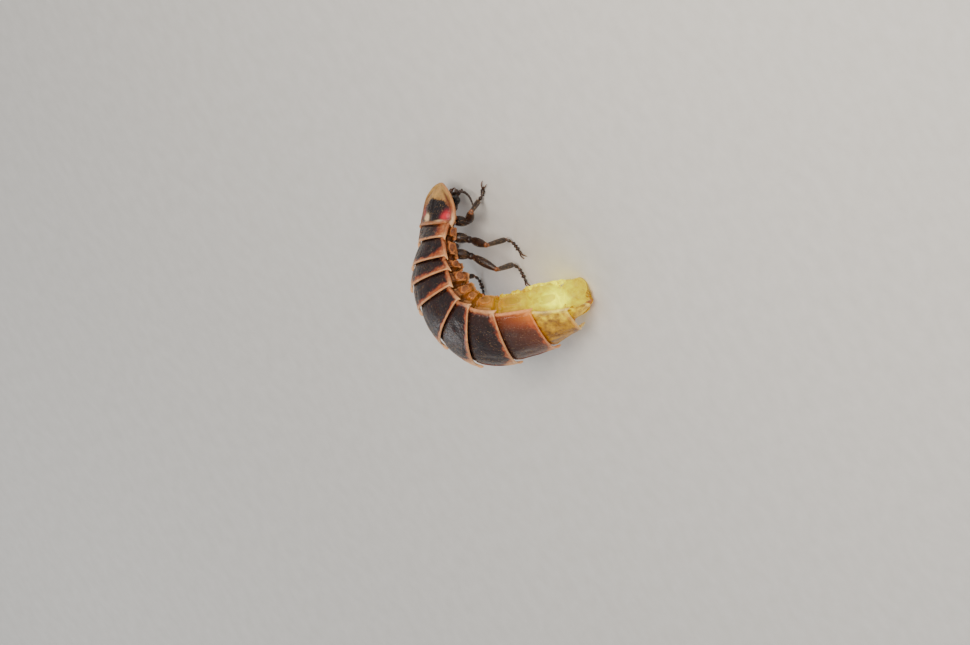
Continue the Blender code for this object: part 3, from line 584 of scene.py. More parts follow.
def skinRings():  # corners of every ring, with the mm along the body
    rows, at = [], []
    for x in np.linspace(skinForm["neckReach"], 0.05, 30):
        fade = soft(0.45, 0.0, x)
        rows.append(neckHalf(x) * (1 - fade) + trunkHalf(1, 0.0) * fade)
        at.append(-x)
    for k in segments[:-1]:
        count = int(bodyRings[k][1] * skinForm["rowsPerMm"])
        following = trunkHalf(k + 1, 0.0) if k < tail - 1 else tailHalf(0.0)
        for v in np.arange(count) / count:
            fade = soft(0.80, 1.0, v)
            rows.append(trunkHalf(k, v) * (1 - fade) + following * fade)
            at.append(ringAt[k - 1] + v * bodyRings[k][1])
    for t in np.linspace(0, 1, 34):
        v = 0.985 * math.sin(t * math.pi / 2)
        rows.append(tailHalf(v))
        at.append(ringAt[tail - 1] + v * bodyRings[tail][1])
    halves = np.array(rows)
    halves[..., 0] += np.array(at)[:, None]
    mirrored = halves[:, -2:0:-1] * (1, -1, 1)
    return throughRing(np.concatenate([halves, mirrored], axis=1), skinForm["around"]), np.array(at)


def makeSkin(hips):
    straight, at = skinRings()
    rings = placeAlong(straight[..., 0], straight[..., 1], straight[..., 2])
    facing = ringNormals(rings)
    turn = np.linspace(0, 1, skinForm["around"], endpoint=False)
    down = 1 - np.abs(1 - 2 * turn)  # 0 on the back, 1 under the belly
    along = straight[..., 0] + bodyForm["cornerReach"]
    flank = soft(0.38, 0.46, down)
    body = soft(-0.6, 0.0, at)[:, None] * (1 - soft(ringAt[-2] - 0.1, ringAt[-2] + 0.5, at))[:, None]
    wander = 0.10 * lumps(rings, 0.9)
    # groove and ridge also become colour marks: painted shade in folds and pleats, painted highlight on
    # crests and lobe tips
    groove, ridge = np.zeros(along.shape), np.zeros(along.shape)
    for ring in ringAt[:-1]:
        away = along - ring - wander
        groove += (bump(away, skinForm["foldWidth"]) + 0.35 * bump(np.abs(away) - 0.42, 0.09)) * flank
        ridge += 0.7 * bump(np.abs(away) - 0.22, 0.08) * flank
    pleats = sum(bump(down - level - 0.12 * wander, skinForm["pleatWidth"]) for level in skinForm["pleats"])
    ridge += sum(bump(down - level - 0.12 * wander, 0.016) for level in (0.445, 0.695)) * body
    depth = skinForm["foldDepth"] * groove + skinForm["pleatDepth"] * pleats * body
    swell = 1 - sum(bump(along - ring - wander, 0.30) for ring in ringAt[:-1])
    lobes = bump(down - 0.69, 0.055) * np.clip(swell, 0, 1) * body * soft(2.0, 3.6, at)[:, None]
    lobes = lobes * soft(ringAt[6], ringAt[5] - 0.6, at)[:, None]
    depth -= skinForm["lobe"] * lobes
    puckered = soft(0.3, 0.5, down) * soft(ringAt[8], ringAt[9], at)[:, None]
    depth -= skinForm["tailLobes"] * lumps(rings, 0.55, 2.0) * puckered
    ridge += 0.5 * bump(down - 0.70, 0.03) * lobes
    bed = soft(ringAt[8] - 0.5, ringAt[8] + 0.1, along) * soft(ringAt[9] - 0.1, ringAt[9] - 0.5, along)
    depth -= skinForm["lanternBed"] * bed * soft(0.70, 0.77, down)
    creases = lumps(np.stack([along / 0.35, turn[None, :] * 26 + 0 * along, 0 * along], -1), 0.5)
    depth += skinForm["wrinkle"] * (0.7 * creases + 0.3 * lumps(rings, 0.16, 7.0)) * (0.3 + 0.7 * flank)
    rings = rings - facing * depth[..., None]
    for hip in hips:  # soft collar round the root of each leg
        away = np.linalg.norm(rings - hip, axis=-1)
        rings = rings + facing * (0.13 * bump(away - 0.50, 0.12))[..., None]
    tip = place(tail, 1.0, 0.0, tailForm["tipLevel"])
    ends = np.stack([placeFront(skinForm["neckReach"] + 0.05, 0, -0.95), tip])
    marks = {
        # groove: painted shade in folds and pleats; ridge: painted highlight on crests
        "groove": np.clip(0.75 * groove + 0.8 * pleats * body, 0, 1),
        "ridge": np.clip(ridge * (0.7 + 0.6 * lumps(rings, 0.4, 3.0)), 0, 1),
        "belly": soft(0.70, 0.82, down)[None, :] * np.ones(along.shape),
        "glow": glowAt(rings) * (0.35 + 0.65 * soft(0.30, 0.5, down)),
    }
    return tubeShell(rings, marks, ends)


# Legs: hip, ring joint, thigh, shin, five foot joints and two claws each

legForm = {
    "fore": (0.60, 1.40, 1.35, 1.15), "mid": (0.65, 1.90, 1.85, 1.40), "hind": (0.70, 2.20, 2.20, 1.55),
    "hipAlong": 0.40, "hipSpread": {"mid": 0.85, "hind": 0.95},
    "rootDrop": 0.46,                  # mm from the belly to the root of a leg
    "foot": 0.155, "claw": 0.055,      # mm, radius of the foot joints and of a claw at its root
    "ankleHeight": 0.47,
}
legKnots = {  # share of the way along a joint, radius in mm or, in a foot joint, as a share of the foot's
    "hip": ((0, 0.24), (0.3, 0.36), (0.62, 0.97 * 0.36), (0.9, 0.22), (1.04, 0.06)),
    "ring": ((0, 0.10), (0.25, 0.21), (0.6, 0.24), (0.9, 0.17), (1, 0.05)),
    "thigh": ((0, 0.12), (0.08, 0.20), (0.35, 0.31), (0.65, 0.95 * 0.31), (0.9, 0.20), (1.0, 0.17),
              (1.06, 0.05)),
    "shin": ((-0.03, 0.05), (0.02, 0.14), (0.12, 0.16), (0.45, 0.9 * 0.21), (0.8, 0.21), (0.96, 0.18),
             (1.03, 0.05)),
    "foot": ((0.0, 0.25), (0.2, 0.62), (0.75, 1.0), (0.95, 0.72), (1.0, 0.2)),
}
footJoints = (  # start and end along the foot, and how wide
    (0.0, 0.30, 0.9), (0.26, 0.48, 0.92), (0.44, 0.64, 1.0), (0.60, 0.80, 1.15), (0.74, 1.04, 0.72),
)
clawKnots = (  # mm ahead of the toe, to its side and up
    (-0.10, 0.03, 0.02), (0.05, 0.10, 0.05), (0.20, 0.17, 0.02), (0.33, 0.20, -0.06), (0.38, 0.21, -0.115),
)
spurRadii = (0.035, 0.032, 0.025, 0.017, 0.006)
footPlaces = {  # mm ahead and to the left of the metathorax ring, and the way the foot points in degrees
    "fore_right": (2.00, -1.95, -50.0), "mid_right": (-1.05, -2.60, -165.0),
    "hind_right": (-2.85, -1.90, 175.0),
    "fore_left": (2.20, 2.10, 40.0), "mid_left": (-0.30, 3.30, 115.0), "hind_left": (-2.80, 3.20, 160.0),
}


def legPlaces(name):  # root, end of the hip, knee, ankle and toe
    pair, word = name.split("_")
    side = 1 if word == "left" else -1
    hip, thigh, shin, foot = legForm[pair]
    if pair == "fore":
        root, axes = placeFront(0.70, side * 0.80, -1.42), chain[0][1]
    else:
        k = 1 if pair == "mid" else 2
        axes = framesAt(k, np.array(legForm["hipAlong"]))[1]
        depth = section(k, legForm["hipAlong"])[2] + legForm["rootDrop"]
        root = place(k, legForm["hipAlong"], side * legForm["hipSpread"][pair], -depth)
    hipEnd = root + hip * unit(side * 0.5 * axes[:, 1] - axes[:, 2])
    forward, left, heading = footPlaces[name]
    middle = bodyForm["thoraxOver"]
    ankle = np.array([forward + middle[0], left + middle[1], legForm["ankleHeight"]])
    pointing = np.array([math.cos(math.radians(heading)), math.sin(math.radians(heading)), 0.0])
    toe = ankle + foot * pointing
    toe[2] = legForm["foot"] - 0.01
    span = ankle - hipEnd
    reach = min(np.linalg.norm(span), 0.985 * (thigh + shin))
    near = (thigh**2 - shin**2 + reach**2) / (2 * reach)
    lift = np.array([0.0, side * 0.8, 1.0])
    lift = unit(lift - unit(span) * (lift @ unit(span)))
    knee = hipEnd + near * unit(span) + math.sqrt(max(thigh**2 - near**2, 0.0)) * lift
    return root, hipEnd, knee, ankle, toe


def joint(start, end, knots, count=16, flat=1.0, around=20, sheets=None):  # knots: share of the way, radius
    shape = throughKnots(knots, count)
    path = start + shape[:, :1] * (end - start)
    pale = np.clip(bump(shape[:, 0], 0.06) + 0.8 * bump(shape[:, 0] - 1, 0.05), 0, 1)
    return limb(path, np.maximum(shape[:, 1], 0.01), around, flat, {"joint": pale}, sheets)


legSheets = []


def makeLeg(name):
    root, hipEnd, knee, ankle, toe = legPlaces(name)
    inward = root + 0.45 * unit(root - hipEnd)
    down, out = unit(hipEnd - root), unit(knee - hipEnd)
    shells = [
        joint(inward, hipEnd, legKnots["hip"], 24, 0.9, 24, legSheets),
        joint(hipEnd - 0.22 * down, hipEnd + 0.30 * out, legKnots["ring"]),
        joint(hipEnd + 0.10 * out, knee, legKnots["thigh"], 26, 0.85, 20, legSheets),
        joint(knee, ankle, legKnots["shin"], 26, 0.85, 20, legSheets),
    ]
    share = np.linspace(0, 1, 41)
    path = ankle + share[:, None] * (toe - ankle)
    path[:, 2] = toe[2] + (ankle[2] - toe[2]) * np.maximum(1 - share / 0.42, 0) ** 1.6
    for start, end, width in footJoints:
        spots = np.linspace(start, end, 12)
        part = np.stack([np.interp(spots, share, path[:, a]) for a in range(3)], -1)
        radii = legForm["foot"] * width * throughKnots(legKnots["foot"], 12)[:, 1]
        part[:, 2] = np.maximum(part[:, 2], radii * 0.8 + 0.004)
        if end > 1:
            part[-1] = part[-2] + (part[-2] - part[-3]) * 0.6
        shells.append(limb(part, radii, 18, 0.8, {"joint": bump(np.linspace(0, 1, 12), 0.15)}, legSheets))
    pointing = unit((toe - ankle) * (1, 1, 0))
    across = np.array([-pointing[1], pointing[0], 0.0])
    for side in (1, -1):
        claw = throughKnots([toe + a * pointing + side * b * across + (0, 0, c) for a, b, c in clawKnots], 14)
        radii = legForm["claw"] * (1 - 0.85 * np.linspace(0, 1, 14) ** 1.5)
        claw[:, 2] = np.maximum(claw[:, 2], radii + 0.004)
        shells.append(limb(claw, radii, 10, 1.0, {"joint": np.linspace(0, 0.5, 14)}))
        start = ankle + (knee - ankle) * 0.05 + across * side * 0.13  # spur at the end of the shin
        end = start + 0.26 * unit(unit(ankle - knee) + 0.4 * side * across)
        spur = throughKnots([start, (start + end) / 2, end], 5)
        shells.append(limb(spur, spurRadii, 7, 1.0, {"joint": np.full(5, 0.4)}))
    return joined(shells)


hips = [legPlaces(name)[0] for name in footPlaces]
allTrunk = [ring[0] for ring in bodyRings[1:]]
makePiece("bodySkin", makeSkin(hips), skinFinish, ["pronotum"] + allTrunk)
for name in footPlaces:
    makePiece("leg_" + name + "_limb", makeLeg(name), hornFinish, ["leg_" + name])
print("skin and legs made")

# Back plates: one arched, grained plate over each segment, with pale hind edges and corner points

plateForm = {
    "rows": 74, "cols": 150,
    "thick": 0.30, "hindThick": 0.13,     # mm
    "tuck": 0.34,                         # front edge, on under the plate ahead
    "lip": 0.06,                          # hind edge, back over the next plate
    # ridges and grooves: mm high, mm from their edge or from the middle line, mm wide
    "sideRim": (0.045, 0.10, 0.07), "sideGroove": (-0.035, 0.27, 0.08),
    "hindRim": (0.022, 0.08, 0.06), "hindGroove": (-0.016, 0.26, 0.08), "midGroove": (-0.020, 0.0, 0.05),
    "grain": 0.13, "grainHeight": 0.018, "dimple": 0.07,
    "clearSide": {"mesothorax": 1.1},     # extra width of the near margin that stays untanned
    "through": {"abdomen_6": 1.05, "abdomen_7": 1.1}, "throughElse": 0.5,  # how clear a plate is to the light
    "leastLit": 0.30, "leastLitLast": 0.55,   # share of that in the middle of the back, and on the last plate
}
bandWidths = {  # mm of pale hind edge at the right side, the middle and the left side
    "mesothorax": (0.50, 0.20, 0.36), "metathorax": (0.75, 0.24, 0.42), "abdomen_1": (0.50, 0.32, 0.50),
    "abdomen_2": (0.45, 0.32, 0.55), "abdomen_3": (0.34, 0.20, 0.85), "abdomen_4": (0.40, 0.22, 0.95),
    "abdomen_5": (0.48, 0.24, 1.00), "abdomen_6": (0.60, 0.25, 0.85), "abdomen_7": (0.45, 0.22, 0.50),
}


def backSurface(k):  # surface of a back plate, with mm from its hind edge and from its side margins
    form, length = plateForm, bodyRings[k][1]
    share = crowded(-1, 1, form["cols"], 0.6)[None, :]
    row = crowded(0, 1, form["rows"], 0.55)[:, None]
    lead = marginLead(share)
    tip = soft(0.88, 1.0, np.abs(share)) ** 2
    front = -lead - form["tuck"] * (1 - soft(0.8, 1.0, np.abs(share)) * 0.8)
    hind = length - lead * (1 - tip) + form["lip"] + 0.05 * tip
    along = front + row * (hind - front)
    v = along / length
    width, arch, _ = section(k, v)
    y = share * width
    z = arch * (1 - share**2) - 0.07 * soft(0.12, -0.2, v)
    return place(k, v, y, z), hind - along, (1 - np.abs(share)) * width, along - front, share, y


def makeBackPlate(k):
    name, length = bodyRings[k][:2]
    form = plateForm
    surface, fromHind, fromSide, fromFront, share, y = backSurface(k)
    facing = gridNormals(surface, chain[k][1][:, 2])
    fromEdge = least(fromHind, fromFront, fromSide)
    thin = np.maximum(soft(0.8, 0.1, fromHind), soft(0.6, 0.1, fromSide))
    thick = form["thick"] + (form["hindThick"] - form["thick"]) * thin
    relief = ridge(fromSide, form["sideRim"]) + ridge(fromSide, form["sideGroove"])
    relief = relief + ridge(fromHind, form["hindRim"]) + ridge(fromHind, form["hindGroove"])
    relief += ridge(y, form["midGroove"]) * soft(0.1, 0.4, fromHind)
    pitRow = form["dimple"] * bump(fromHind - 0.55 * length, 0.22 * length)
    for side in (-1, 1):  # muscle marks, one shallow pit on each side
        relief -= bump(share - side * 0.42, 0.13) * pitRow
    relief += 0.025 * lumps(surface, 0.9, k) + 0.008 * lumps(surface, 0.3, 3 * k)
    relief += form["grainHeight"] * grains(surface, form["grain"], k) * soft(0.05, 0.25, fromEdge)
    near, middle, far = bandWidths[name]
    bandWidth = middle + (near - middle) * soft(0.35, 0.95, -share) + (far - middle) * soft(0.35, 0.95, share)
    uneven = 0.18 * lumps(surface, 0.5, 11.0) + 0.07 * lumps(surface, 0.15, 5.0)
    band = 1 - soft(0.25, 1.45, (fromHind + uneven) / bandWidth)
    clear = form["clearSide"].get(name, 0.0) * (share < 0)
    side = 1 - soft(0.06, 0.42 + clear, fromSide + (0.5 + clear) * uneven)
    band = np.maximum(band, side * np.where(share < 0, 0.9, 0.45))
    # cream: pale corners, the far ones brighter, a painted highlight line along the hind edge, and paler
    # where the light organ shines through the margins
    farCorner = bump(fromHind, 0.8) * bump(fromSide, 1.2)
    nearCorner = 0.55 * bump(fromHind, 0.5) * bump(fromSide, 0.3)
    creamAndHighlight = 1.1 * np.where(share > 0, farCorner, nearCorner) + 0.60 * bump(fromHind - 0.03, 0.07)
    creamAndHighlight = np.clip(creamAndHighlight + 0.15 * side + side * glowAt(surface), 0, 1)
    faintest = form["leastLitLast"] if k == tail - 1 else form["leastLit"]
    lit = glowAt(surface, "plateReach") * form["through"].get(name, form["throughElse"])
    lit = lit * (faintest + (1 - faintest) * soft(1.6, 0.2, fromSide))
    backSheets.append(sheetOf(surface, facing))
    return plateShell(surface, facing, thick, relief, fromEdge, {"band": band, "creamAndHighlight": creamAndHighlight, "glow": lit})


backSheets = []
for k in segments[:-1]:
    name = bodyRings[k][0]
    finish, slot = litFinish if k >= 9 else plateFinish, "lantern" if k >= 8 else "back_plate"
    makePiece("backPlate_" + name, makeBackPlate(k), finish, [name])
print("back plates made")

# Tail: a small plate over the last segment and two soft lobes at its tip

def tailPlate():
    share = crowded(-1, 1, 70, 0.6)[None, :]
    row = crowded(0, 1, 44, 0.5)[:, None]
    reach = 1.22 - 0.30 * np.abs(share) ** 2.5
    along = -0.30 + row * (reach + 0.30)
    v = along / bodyRings[tail][1]
    width = 1.26 * np.sqrt(1 - np.clip(0.80 * v, 0, 1) ** 2.6)
    y = share * width
    z = (0.42 - 0.20 * v) * (1 - share**2) - 0.42 - 0.18 * share**4
    surface = place(tail, v, y, z)
    facing = gridNormals(surface, chain[tail][1][:, 2])
    fromHind, fromSide = reach - along, (1 - np.abs(share)) * width
    fromEdge = least(fromHind, fromSide, along + 0.30)
    relief = 0.03 * lumps(surface, 0.5) + 0.012 * grains(surface, 0.13)
    relief -= 0.05 * bump(y, 0.12) * soft(0.2, 0.7, along)
    marks = {
        "band": 1 - soft(0.12, 0.34, np.minimum(fromHind, fromSide) + 0.1 * lumps(surface, 0.3)),
        "creamAndHighlight": bump(fromHind, 0.25) + 0 * fromSide,
        "glow": glowAt(surface) * 0.9,
    }
    thick = np.full(fromEdge.shape, 0.16)
    backSheets.append(sheetOf(surface, facing))
    return plateShell(surface, facing, thick, relief, fromEdge, marks)


lobeKnots = ((0.50, 0.30, 0.0), (0.80, 0.36, 0.03), (1.0, 0.40, 0.07), (1.14, 0.36, 0.12))  # along, out, down


def tailLobes():
    shells = []
    ripple = np.sin(np.arange(18) * 2.1)
    for side in (1, -1):
        knots = [place(tail, v, side * y, tailForm["tipLevel"] - drop) for v, y, drop in lobeKnots]
        radii = throughKnots([[0.22], [0.29], [0.25], [0.10]], 18)[:, 0] * (1 + 0.05 * ripple)
        marks = {"groove": 0.5 + 0.4 * ripple, "glow": np.full(18, 0.55)}
        shells.append(limb(throughKnots(knots, 18), radii, 20, 0.85, marks))
    return joined(shells)


makePiece("backPlate_abdomen_8", tailPlate(), litFinish, ["abdomen_8"])
makePiece("tailLobes", tailLobes(), lanternFinish, ["abdomen_8"])
print("tail made")

# Belly plates, and the two swollen ones of the light organ

bellyForm = {
    "rows": 56, "cols": 90, "share": 0.60, "span": (0.06, 0.94), "edge": 0.35, "rise": (0.14, 0.18),
    "lanternRise": {8: (0.16, 0.30), 9: (0.75, 0.62)}, "lanternSpread": 0.06, "lip": {9: 0.45},
    "thick": 0.26, "lanternThick": 0.34, "groove": (-0.04, 0.22, 0.07),
    "scallop": 0.09,   # mm, depth of the points along the lantern's free edges
    "corner": 0.9,     # mm that the last lantern's hind corners reach on
}


def makeBellyPlate(k):
    form, (name, length) = bellyForm, bodyRings[k][:2]
    bright = k in form["lanternRise"]
    foreRise, hindRise = form["lanternRise"].get(k, form["rise"])
    spread = form["share"] + (form["lanternSpread"] if bright else 0.0)
    share = crowded(-1, 1, form["cols"], 0.6)[None, :]
    row = crowded(0, 1, form["rows"], 0.6)[:, None]
    first, last = form["span"][0] - form["lip"].get(k, 0.0) / length, form["span"][1]
    v = first + row * (last - first) + 0.06 * row * (1 - share**2) / length
    width, _, depth = section(k, v)
    ease = 1 - 0.2 * bump(row, 0.15) - 0.2 * bump(1 - row, 0.15)
    rise = ease * (foreRise + (hindRise - foreRise) * row)
    skin = -depth + skinForm["bellyRound"] * (form["share"] * share) ** 2
    z = skin - rise * (1 - form["edge"] * share**4)
    scallop = wave = 0.0
    if bright:  # its free edges are cut into small points
        jagged = np.sin(share * 11 + 1) + 0.7 * np.sin(share * 25 + 2)
        scallop = form["scallop"] * jagged * (bump(row, 0.2) - bump(1 - row, 0.15))
        wave = form["scallop"] * (np.sin(row * 13 + 1) + 0.7 * np.sin(row * 31)) * np.abs(share) ** 6 / 1.6
    s = v - marginLead(1.0) / length + scallop / length
    if bright:
        s = s + form["corner"] * (k == 9) * np.abs(share) ** 6 * row**3 / length
    surface = place(k, s, share * spread * width * (1 + wave), z)
    surface[..., 2] = np.maximum(surface[..., 2], 0.05)
    facing = gridNormals(surface, -chain[k][1][:, 2])
    span = (last - first) * length
    fromHind, fromFront, fromSide = (1 - row) * span, row * span, (1 - np.abs(share)) * spread * width
    fromEdge = least(fromHind, fromFront, fromSide)
    thick = np.full(fromEdge.shape, form["lanternThick"] if bright else form["thick"])
    relief = 0.035 * lumps(surface, 0.7, k) + 0.010 * grains(surface, 0.16, k)
    relief += ridge(fromEdge, form["groove"])
    if bright:
        relief += 0.08 * lumps(surface, 0.55, 9.0) + 0.02 * lumps(surface, 0.2, 5.0)
        spots = soft(0.15, 0.6, lumps(surface, 0.5, 2.0)) + 0.4 * soft(0.2, 0.6, lumps(surface, 0.2, 8.0))
        # groove mark: painted shade in the groove along the edges, plus mottled spots
        groove = np.clip(0.5 * bump(fromEdge - 0.22, 0.08) + 0.55 * spots, 0, 1)
        marks = {"groove": groove, "glow": glowAt(surface) * 1.1 + 0.12 * (k == 9)}
        look = "lantern_" + name, lanternFinish, "lantern"
    else:
        rim = 1 - soft(0.15, 0.42, least(fromHind, fromSide) + 0.15 * lumps(surface, 0.4))
        marks = {"band": rim, "glow": glowAt(surface) * 0.7}
        look = "bellyPlate_" + name, flankFinish, "back_plate"
    pieceName, finish, slot = look
    makePiece(pieceName, plateShell(surface, facing, thick, relief, fromEdge, marks), finish, [name])


for k in segments[:-1]:
    makeBellyPlate(k)
print("belly plates made")

# Flank plates: one brown oval on each side of a segment, in the soft skin

flankForm = {"length": 0.60, "height": 0.33, "level": 0.52, "rise": 0.13, "fullDepth": 1.90, "around": 48}
flankProfile = (  # size of each ring as a share, and how far it stands out as a share of the rise
    (0.80, -2.5), (0.96, -0.6), (1.0, 0.0), (0.985, 0.4), (0.93, 0.72), (0.85, 0.80), (0.77, 0.80),
    (0.68, 0.84), (0.58, 0.91), (0.48, 0.97), (0.39, 1.02), (0.30, 1.05), (0.21, 1.07), (0.12, 1.08),
    (0.04, 1.08),
)


def flankShell(k, side):
    form = flankForm
    width, _, depth = section(k, 0.5)
    flank = width - bodyForm["overhang"] + skinForm["bulge"]
    height = form["height"] * min(depth / form["fullDepth"], 1.0)
    middle = 0.5 - marginLead(1.0) / bodyRings[k][1]
    angle = np.linspace(0, 2 * math.pi, form["around"], endpoint=False)
    squarish = 1 / (np.abs(np.cos(angle)) ** 2.4 + np.abs(np.sin(angle)) ** 2.4) ** (1 / 2.4)
    waves = (0.09, 2, 2.3), (0.06, 3, 1), (0.04, 7, 2)  # height, count and shift from one segment to the next
    uneven = 1 + sum(height * np.sin(count * angle + shift * k) for height, count, shift in waves)
    rise = form["rise"] * (0.35 if k >= 8 else 1.0)  # hardly seen where the skin is lit
    rings, band = [], []
    for size, reach in flankProfile:
        v = middle + size * form["length"] / 2 * np.cos(angle) * squarish * uneven
        z = -form["level"] * depth + size * height * np.sin(angle) * squarish * uneven
        rings.append(place(k, v, side * (flank + reach * rise), z))
        band.append(np.full(angle.shape, float(soft(0.66, 1.02, size))))
    rings = np.array(rings)
    rough = side * (0.035 * lumps(rings, 0.25, k) + 0.014 * lumps(rings, 0.1, k))
    rings += rough[..., None] * chain[k][1][:, 1]
    return tubeShell(rings, {"band": np.array(band), "glow": glowAt(rings) * 0.95})


flanks = joined([flankShell(k, side) for k in segments[:-1] for side in (1, -1)])
makePiece("flankPlates", flanks, flankFinish, allTrunk[:-1])

# Shield over the head

shieldForm = {
    "length": 3.10, "halfWidth": 2.28, "turnDown": 0.20, "droop": 0.25, "arch": 0.50,
    "rows": 120, "cols": 130, "thick": 0.34, "rimThick": 0.20,
    # ridges and grooves: mm high, mm from their edge or from the middle line, mm wide
    "rim": (0.055, 0.12, 0.08), "rimGroove": (-0.06, 0.34, 0.10), "innerRim": (0.04, 0.60, 0.10),
    "hindRim": (0.05, 0.10, 0.08), "hindGroove": (-0.05, 0.30, 0.10),
    "keel": (0.05, 0.0, 0.10), "besideKeel": (-0.03, 0.22, 0.08), "pit": (-0.06, 0.80, 0.30),
    "discLength": 1.88, "discLeft": 1.50, "discRight": 2.02,
}
# the cream spots are pale patches, and the large left one is brightened into a painted highlight
shieldSpots = {  # strength, mm to the left and ahead, half widths that way, and slant
    "pink": ((1.0, -1.59, 0.64, 0.32, 0.38, 0.25), (0.5, 1.0, 0.95, 0.25, 0.30, 0.0)),
    "creamAndHighlight": ((1.9, 0.44, 0.59, 0.32, 0.23, 0.0), (0.6, -1.15, 0.26, 0.40, 0.09, 0.0)),
}


def shieldHalfWidth(x):
    share = np.clip((x - 0.55) / (shieldForm["length"] - 0.55), 0, 1)
    waist = 1 - 0.05 * (1 - np.minimum(x / 0.55, 1))
    return shieldForm["halfWidth"] * waist * (1 - 0.975 * share**2) ** 0.72


def spotAt(x, y, strength, left, front, wide, deep, slant):
    return strength * bump(y - left + slant * (x - front), wide) * bump(x - front, deep)


def makeShield():
    form = shieldForm
    length, broad = form["length"], form["halfWidth"]
    across = crowded(-1, 1, form["cols"], 0.6)[None, :]
    row = crowded(0, 1, form["rows"], 0.7)[:, None]
    hind = marginLead(across) * (1 - soft(0.90, 1.0, np.abs(across))) - 0.02
    x = row * length
    ahead = x + hind * np.maximum(1 - x / 0.9, 0)
    y = across * shieldHalfWidth(x)
    share, along = y / broad, x / length
    dome = form["arch"] * np.maximum(1 - share**2, 0) ** 1.3 * (1 - 0.35 * along**2)
    z = dome - form["turnDown"] * share**4 - form["droop"] * along**3
    surface = placeFront(ahead, y, z)
    facing = gridNormals(surface, chain[0][1][:, 2])
    edgeX = np.linspace(0, length, 240)
    edge = np.concatenate([np.stack([edgeX, s * shieldHalfWidth(edgeX)], -1) for s in (1, -1)])
    plan = np.stack(np.broadcast_arrays(ahead, y), -1)
    fromRim = np.min(np.linalg.norm(plan[:, :, None] - edge[None, None], axis=-1), axis=-1)
    fromRim = np.minimum(fromRim, length - ahead)
    fromHind = ahead - hind
    fromEdge = np.minimum(fromRim, fromHind)
    thick = form["rimThick"] + (form["thick"] - form["rimThick"]) * soft(0.1, 0.8, fromEdge)
    relief = ridge(fromRim, form["rim"]) + ridge(fromRim, form["rimGroove"])
    relief += ridge(fromRim, form["innerRim"]) * soft(2.2, 1.4, x)
    relief += ridge(fromHind, form["hindRim"]) + ridge(fromHind, form["hindGroove"])
    relief += ridge(y, form["keel"]) * soft(0.4, 0.9, x) * soft(2.9, 2.2, x)
    relief += ridge(np.abs(y), form["besideKeel"])
    relief += ridge(np.abs(y), form["pit"]) * bump(x - 0.75, 0.40)
    relief += 0.035 * lumps(surface, 0.7) + 0.020 * grains(surface, 0.13) * soft(0.04, 0.2, fromEdge)
    wavy = 0.12 * lumps(surface, 0.45, 4.0) + 0.05 * lumps(surface, 0.15, 6.0)
    discHalf = np.where(y > 0, form["discLeft"], form["discRight"])
    arch = 1 - (np.abs(y) / discHalf) ** np.where(y > 0, 3.2, 6.0)
    disc = soft(-0.12, 0.14, arch + wavy - (x - 0.05) / form["discLength"])
    disc = disc * soft(0.16, 0.34, fromHind + 0.4 * wavy)
    pink, creamAndHighlight = (sum(spotAt(x, y, *spot) for spot in shieldSpots[mark]) for mark in ("pink", "creamAndHighlight"))
    # painted highlight on the right hind corner of the rim
    creamAndHighlight = creamAndHighlight + 0.6 * bump(fromRim - 0.12, 0.14) * bump(fromHind - 0.30, 0.45) * (y < 0)
    rim = bump(fromRim - 0.05, 0.06) + 0.35 * bump(fromRim - 0.55, 0.05) + 0.8 * bump(fromHind - 0.06, 0.06)
    marks = {
        "disc": disc, "rim": np.clip(rim, 0, 1), "front": soft(1.3, 2.2, x + 0.25 * wavy + 0 * y),
        "pink": np.clip(1.25 * pink + wavy * pink, 0, 1),
        "creamAndHighlight": np.clip(1.3 * creamAndHighlight + 2 * wavy * creamAndHighlight, 0, 1),
        # groove: darkening along the groove inside the rim, painted shade
        "groove": bump(fromRim - form["rimGroove"][1], 0.09) * soft(2.7, 2.0, x),
    }
    shieldSheets.append(sheetOf(surface, facing, -1))
    return plateShell(surface, facing, thick, relief, fromEdge, marks)


shieldSheets = []
makePiece("shieldPlate", makeShield(), shieldFinish, ["pronotum"])
print("shield made")

# Head: skull, brow, jaws, palps, lip, eyes and feelers, all under the shield

headForm = {
    "back": 1.35, "length": 1.25, "halfWidth": 0.72, "halfHeight": 0.46, "drop": 0.95,
    "eyeRadius": 0.33, "eyeAt": 0.55, "feelerRadius": 0.125, "feelerJoints": 11,
}
skullKnots = (  # share of the length, half width and half height as shares
    (0.0, 0.70, 0.80), (0.14, 0.90, 0.95), (0.34, 0.82, 1.0), (0.55, 0.80, 0.98),
    (0.78, 0.62, 0.80), (0.92, 0.48, 0.62), (1.0, 0.30, 0.40), (1.03, 0.08, 0.12),
)
mouthKnots = {  # share of the head's length, mm out and mm up
    "jaw": ((0.76, 0.24, -0.05), (0.98, 0.29, -0.05), (1.14, 0.23, -0.06), (1.25, 0.08, -0.08),
            (1.27, 0.01, -0.09)),
    "palp": ((0.70, 0.20, -0.20), (0.90, 0.29, -0.32), (1.04, 0.34, -0.38), (1.16, 0.36, -0.44),
             (1.27, 0.33, -0.52)),
    "innerPalp": ((0.80, 0.07, -0.24), (0.95, 0.10, -0.34), (1.06, 0.12, -0.39), (1.15, 0.11, -0.43)),
    "socket": ((0.76, 0.24, 0.16), (0.82, 0.27, 0.22), (0.87, 0.30, 0.22)),
    "lip": ((0.84, 0.0, 0.20), (0.98, 0.0, 0.20), (1.10, 0.0, 0.13), (1.15, 0.0, 0.06)),
}
palpRadii = {"palp": 0.085, "innerPalp": 0.055}
socketRadii = (0.10, 0.14, 0.155, 0.15, 0.14, 0.13, 0.11, 0.06)


def headAt(share, y, z):
    ahead = headForm["back"] + np.asarray(share, float) * headForm["length"]
    return placeFront(ahead, y, np.asarray(z, float) - headForm["drop"])


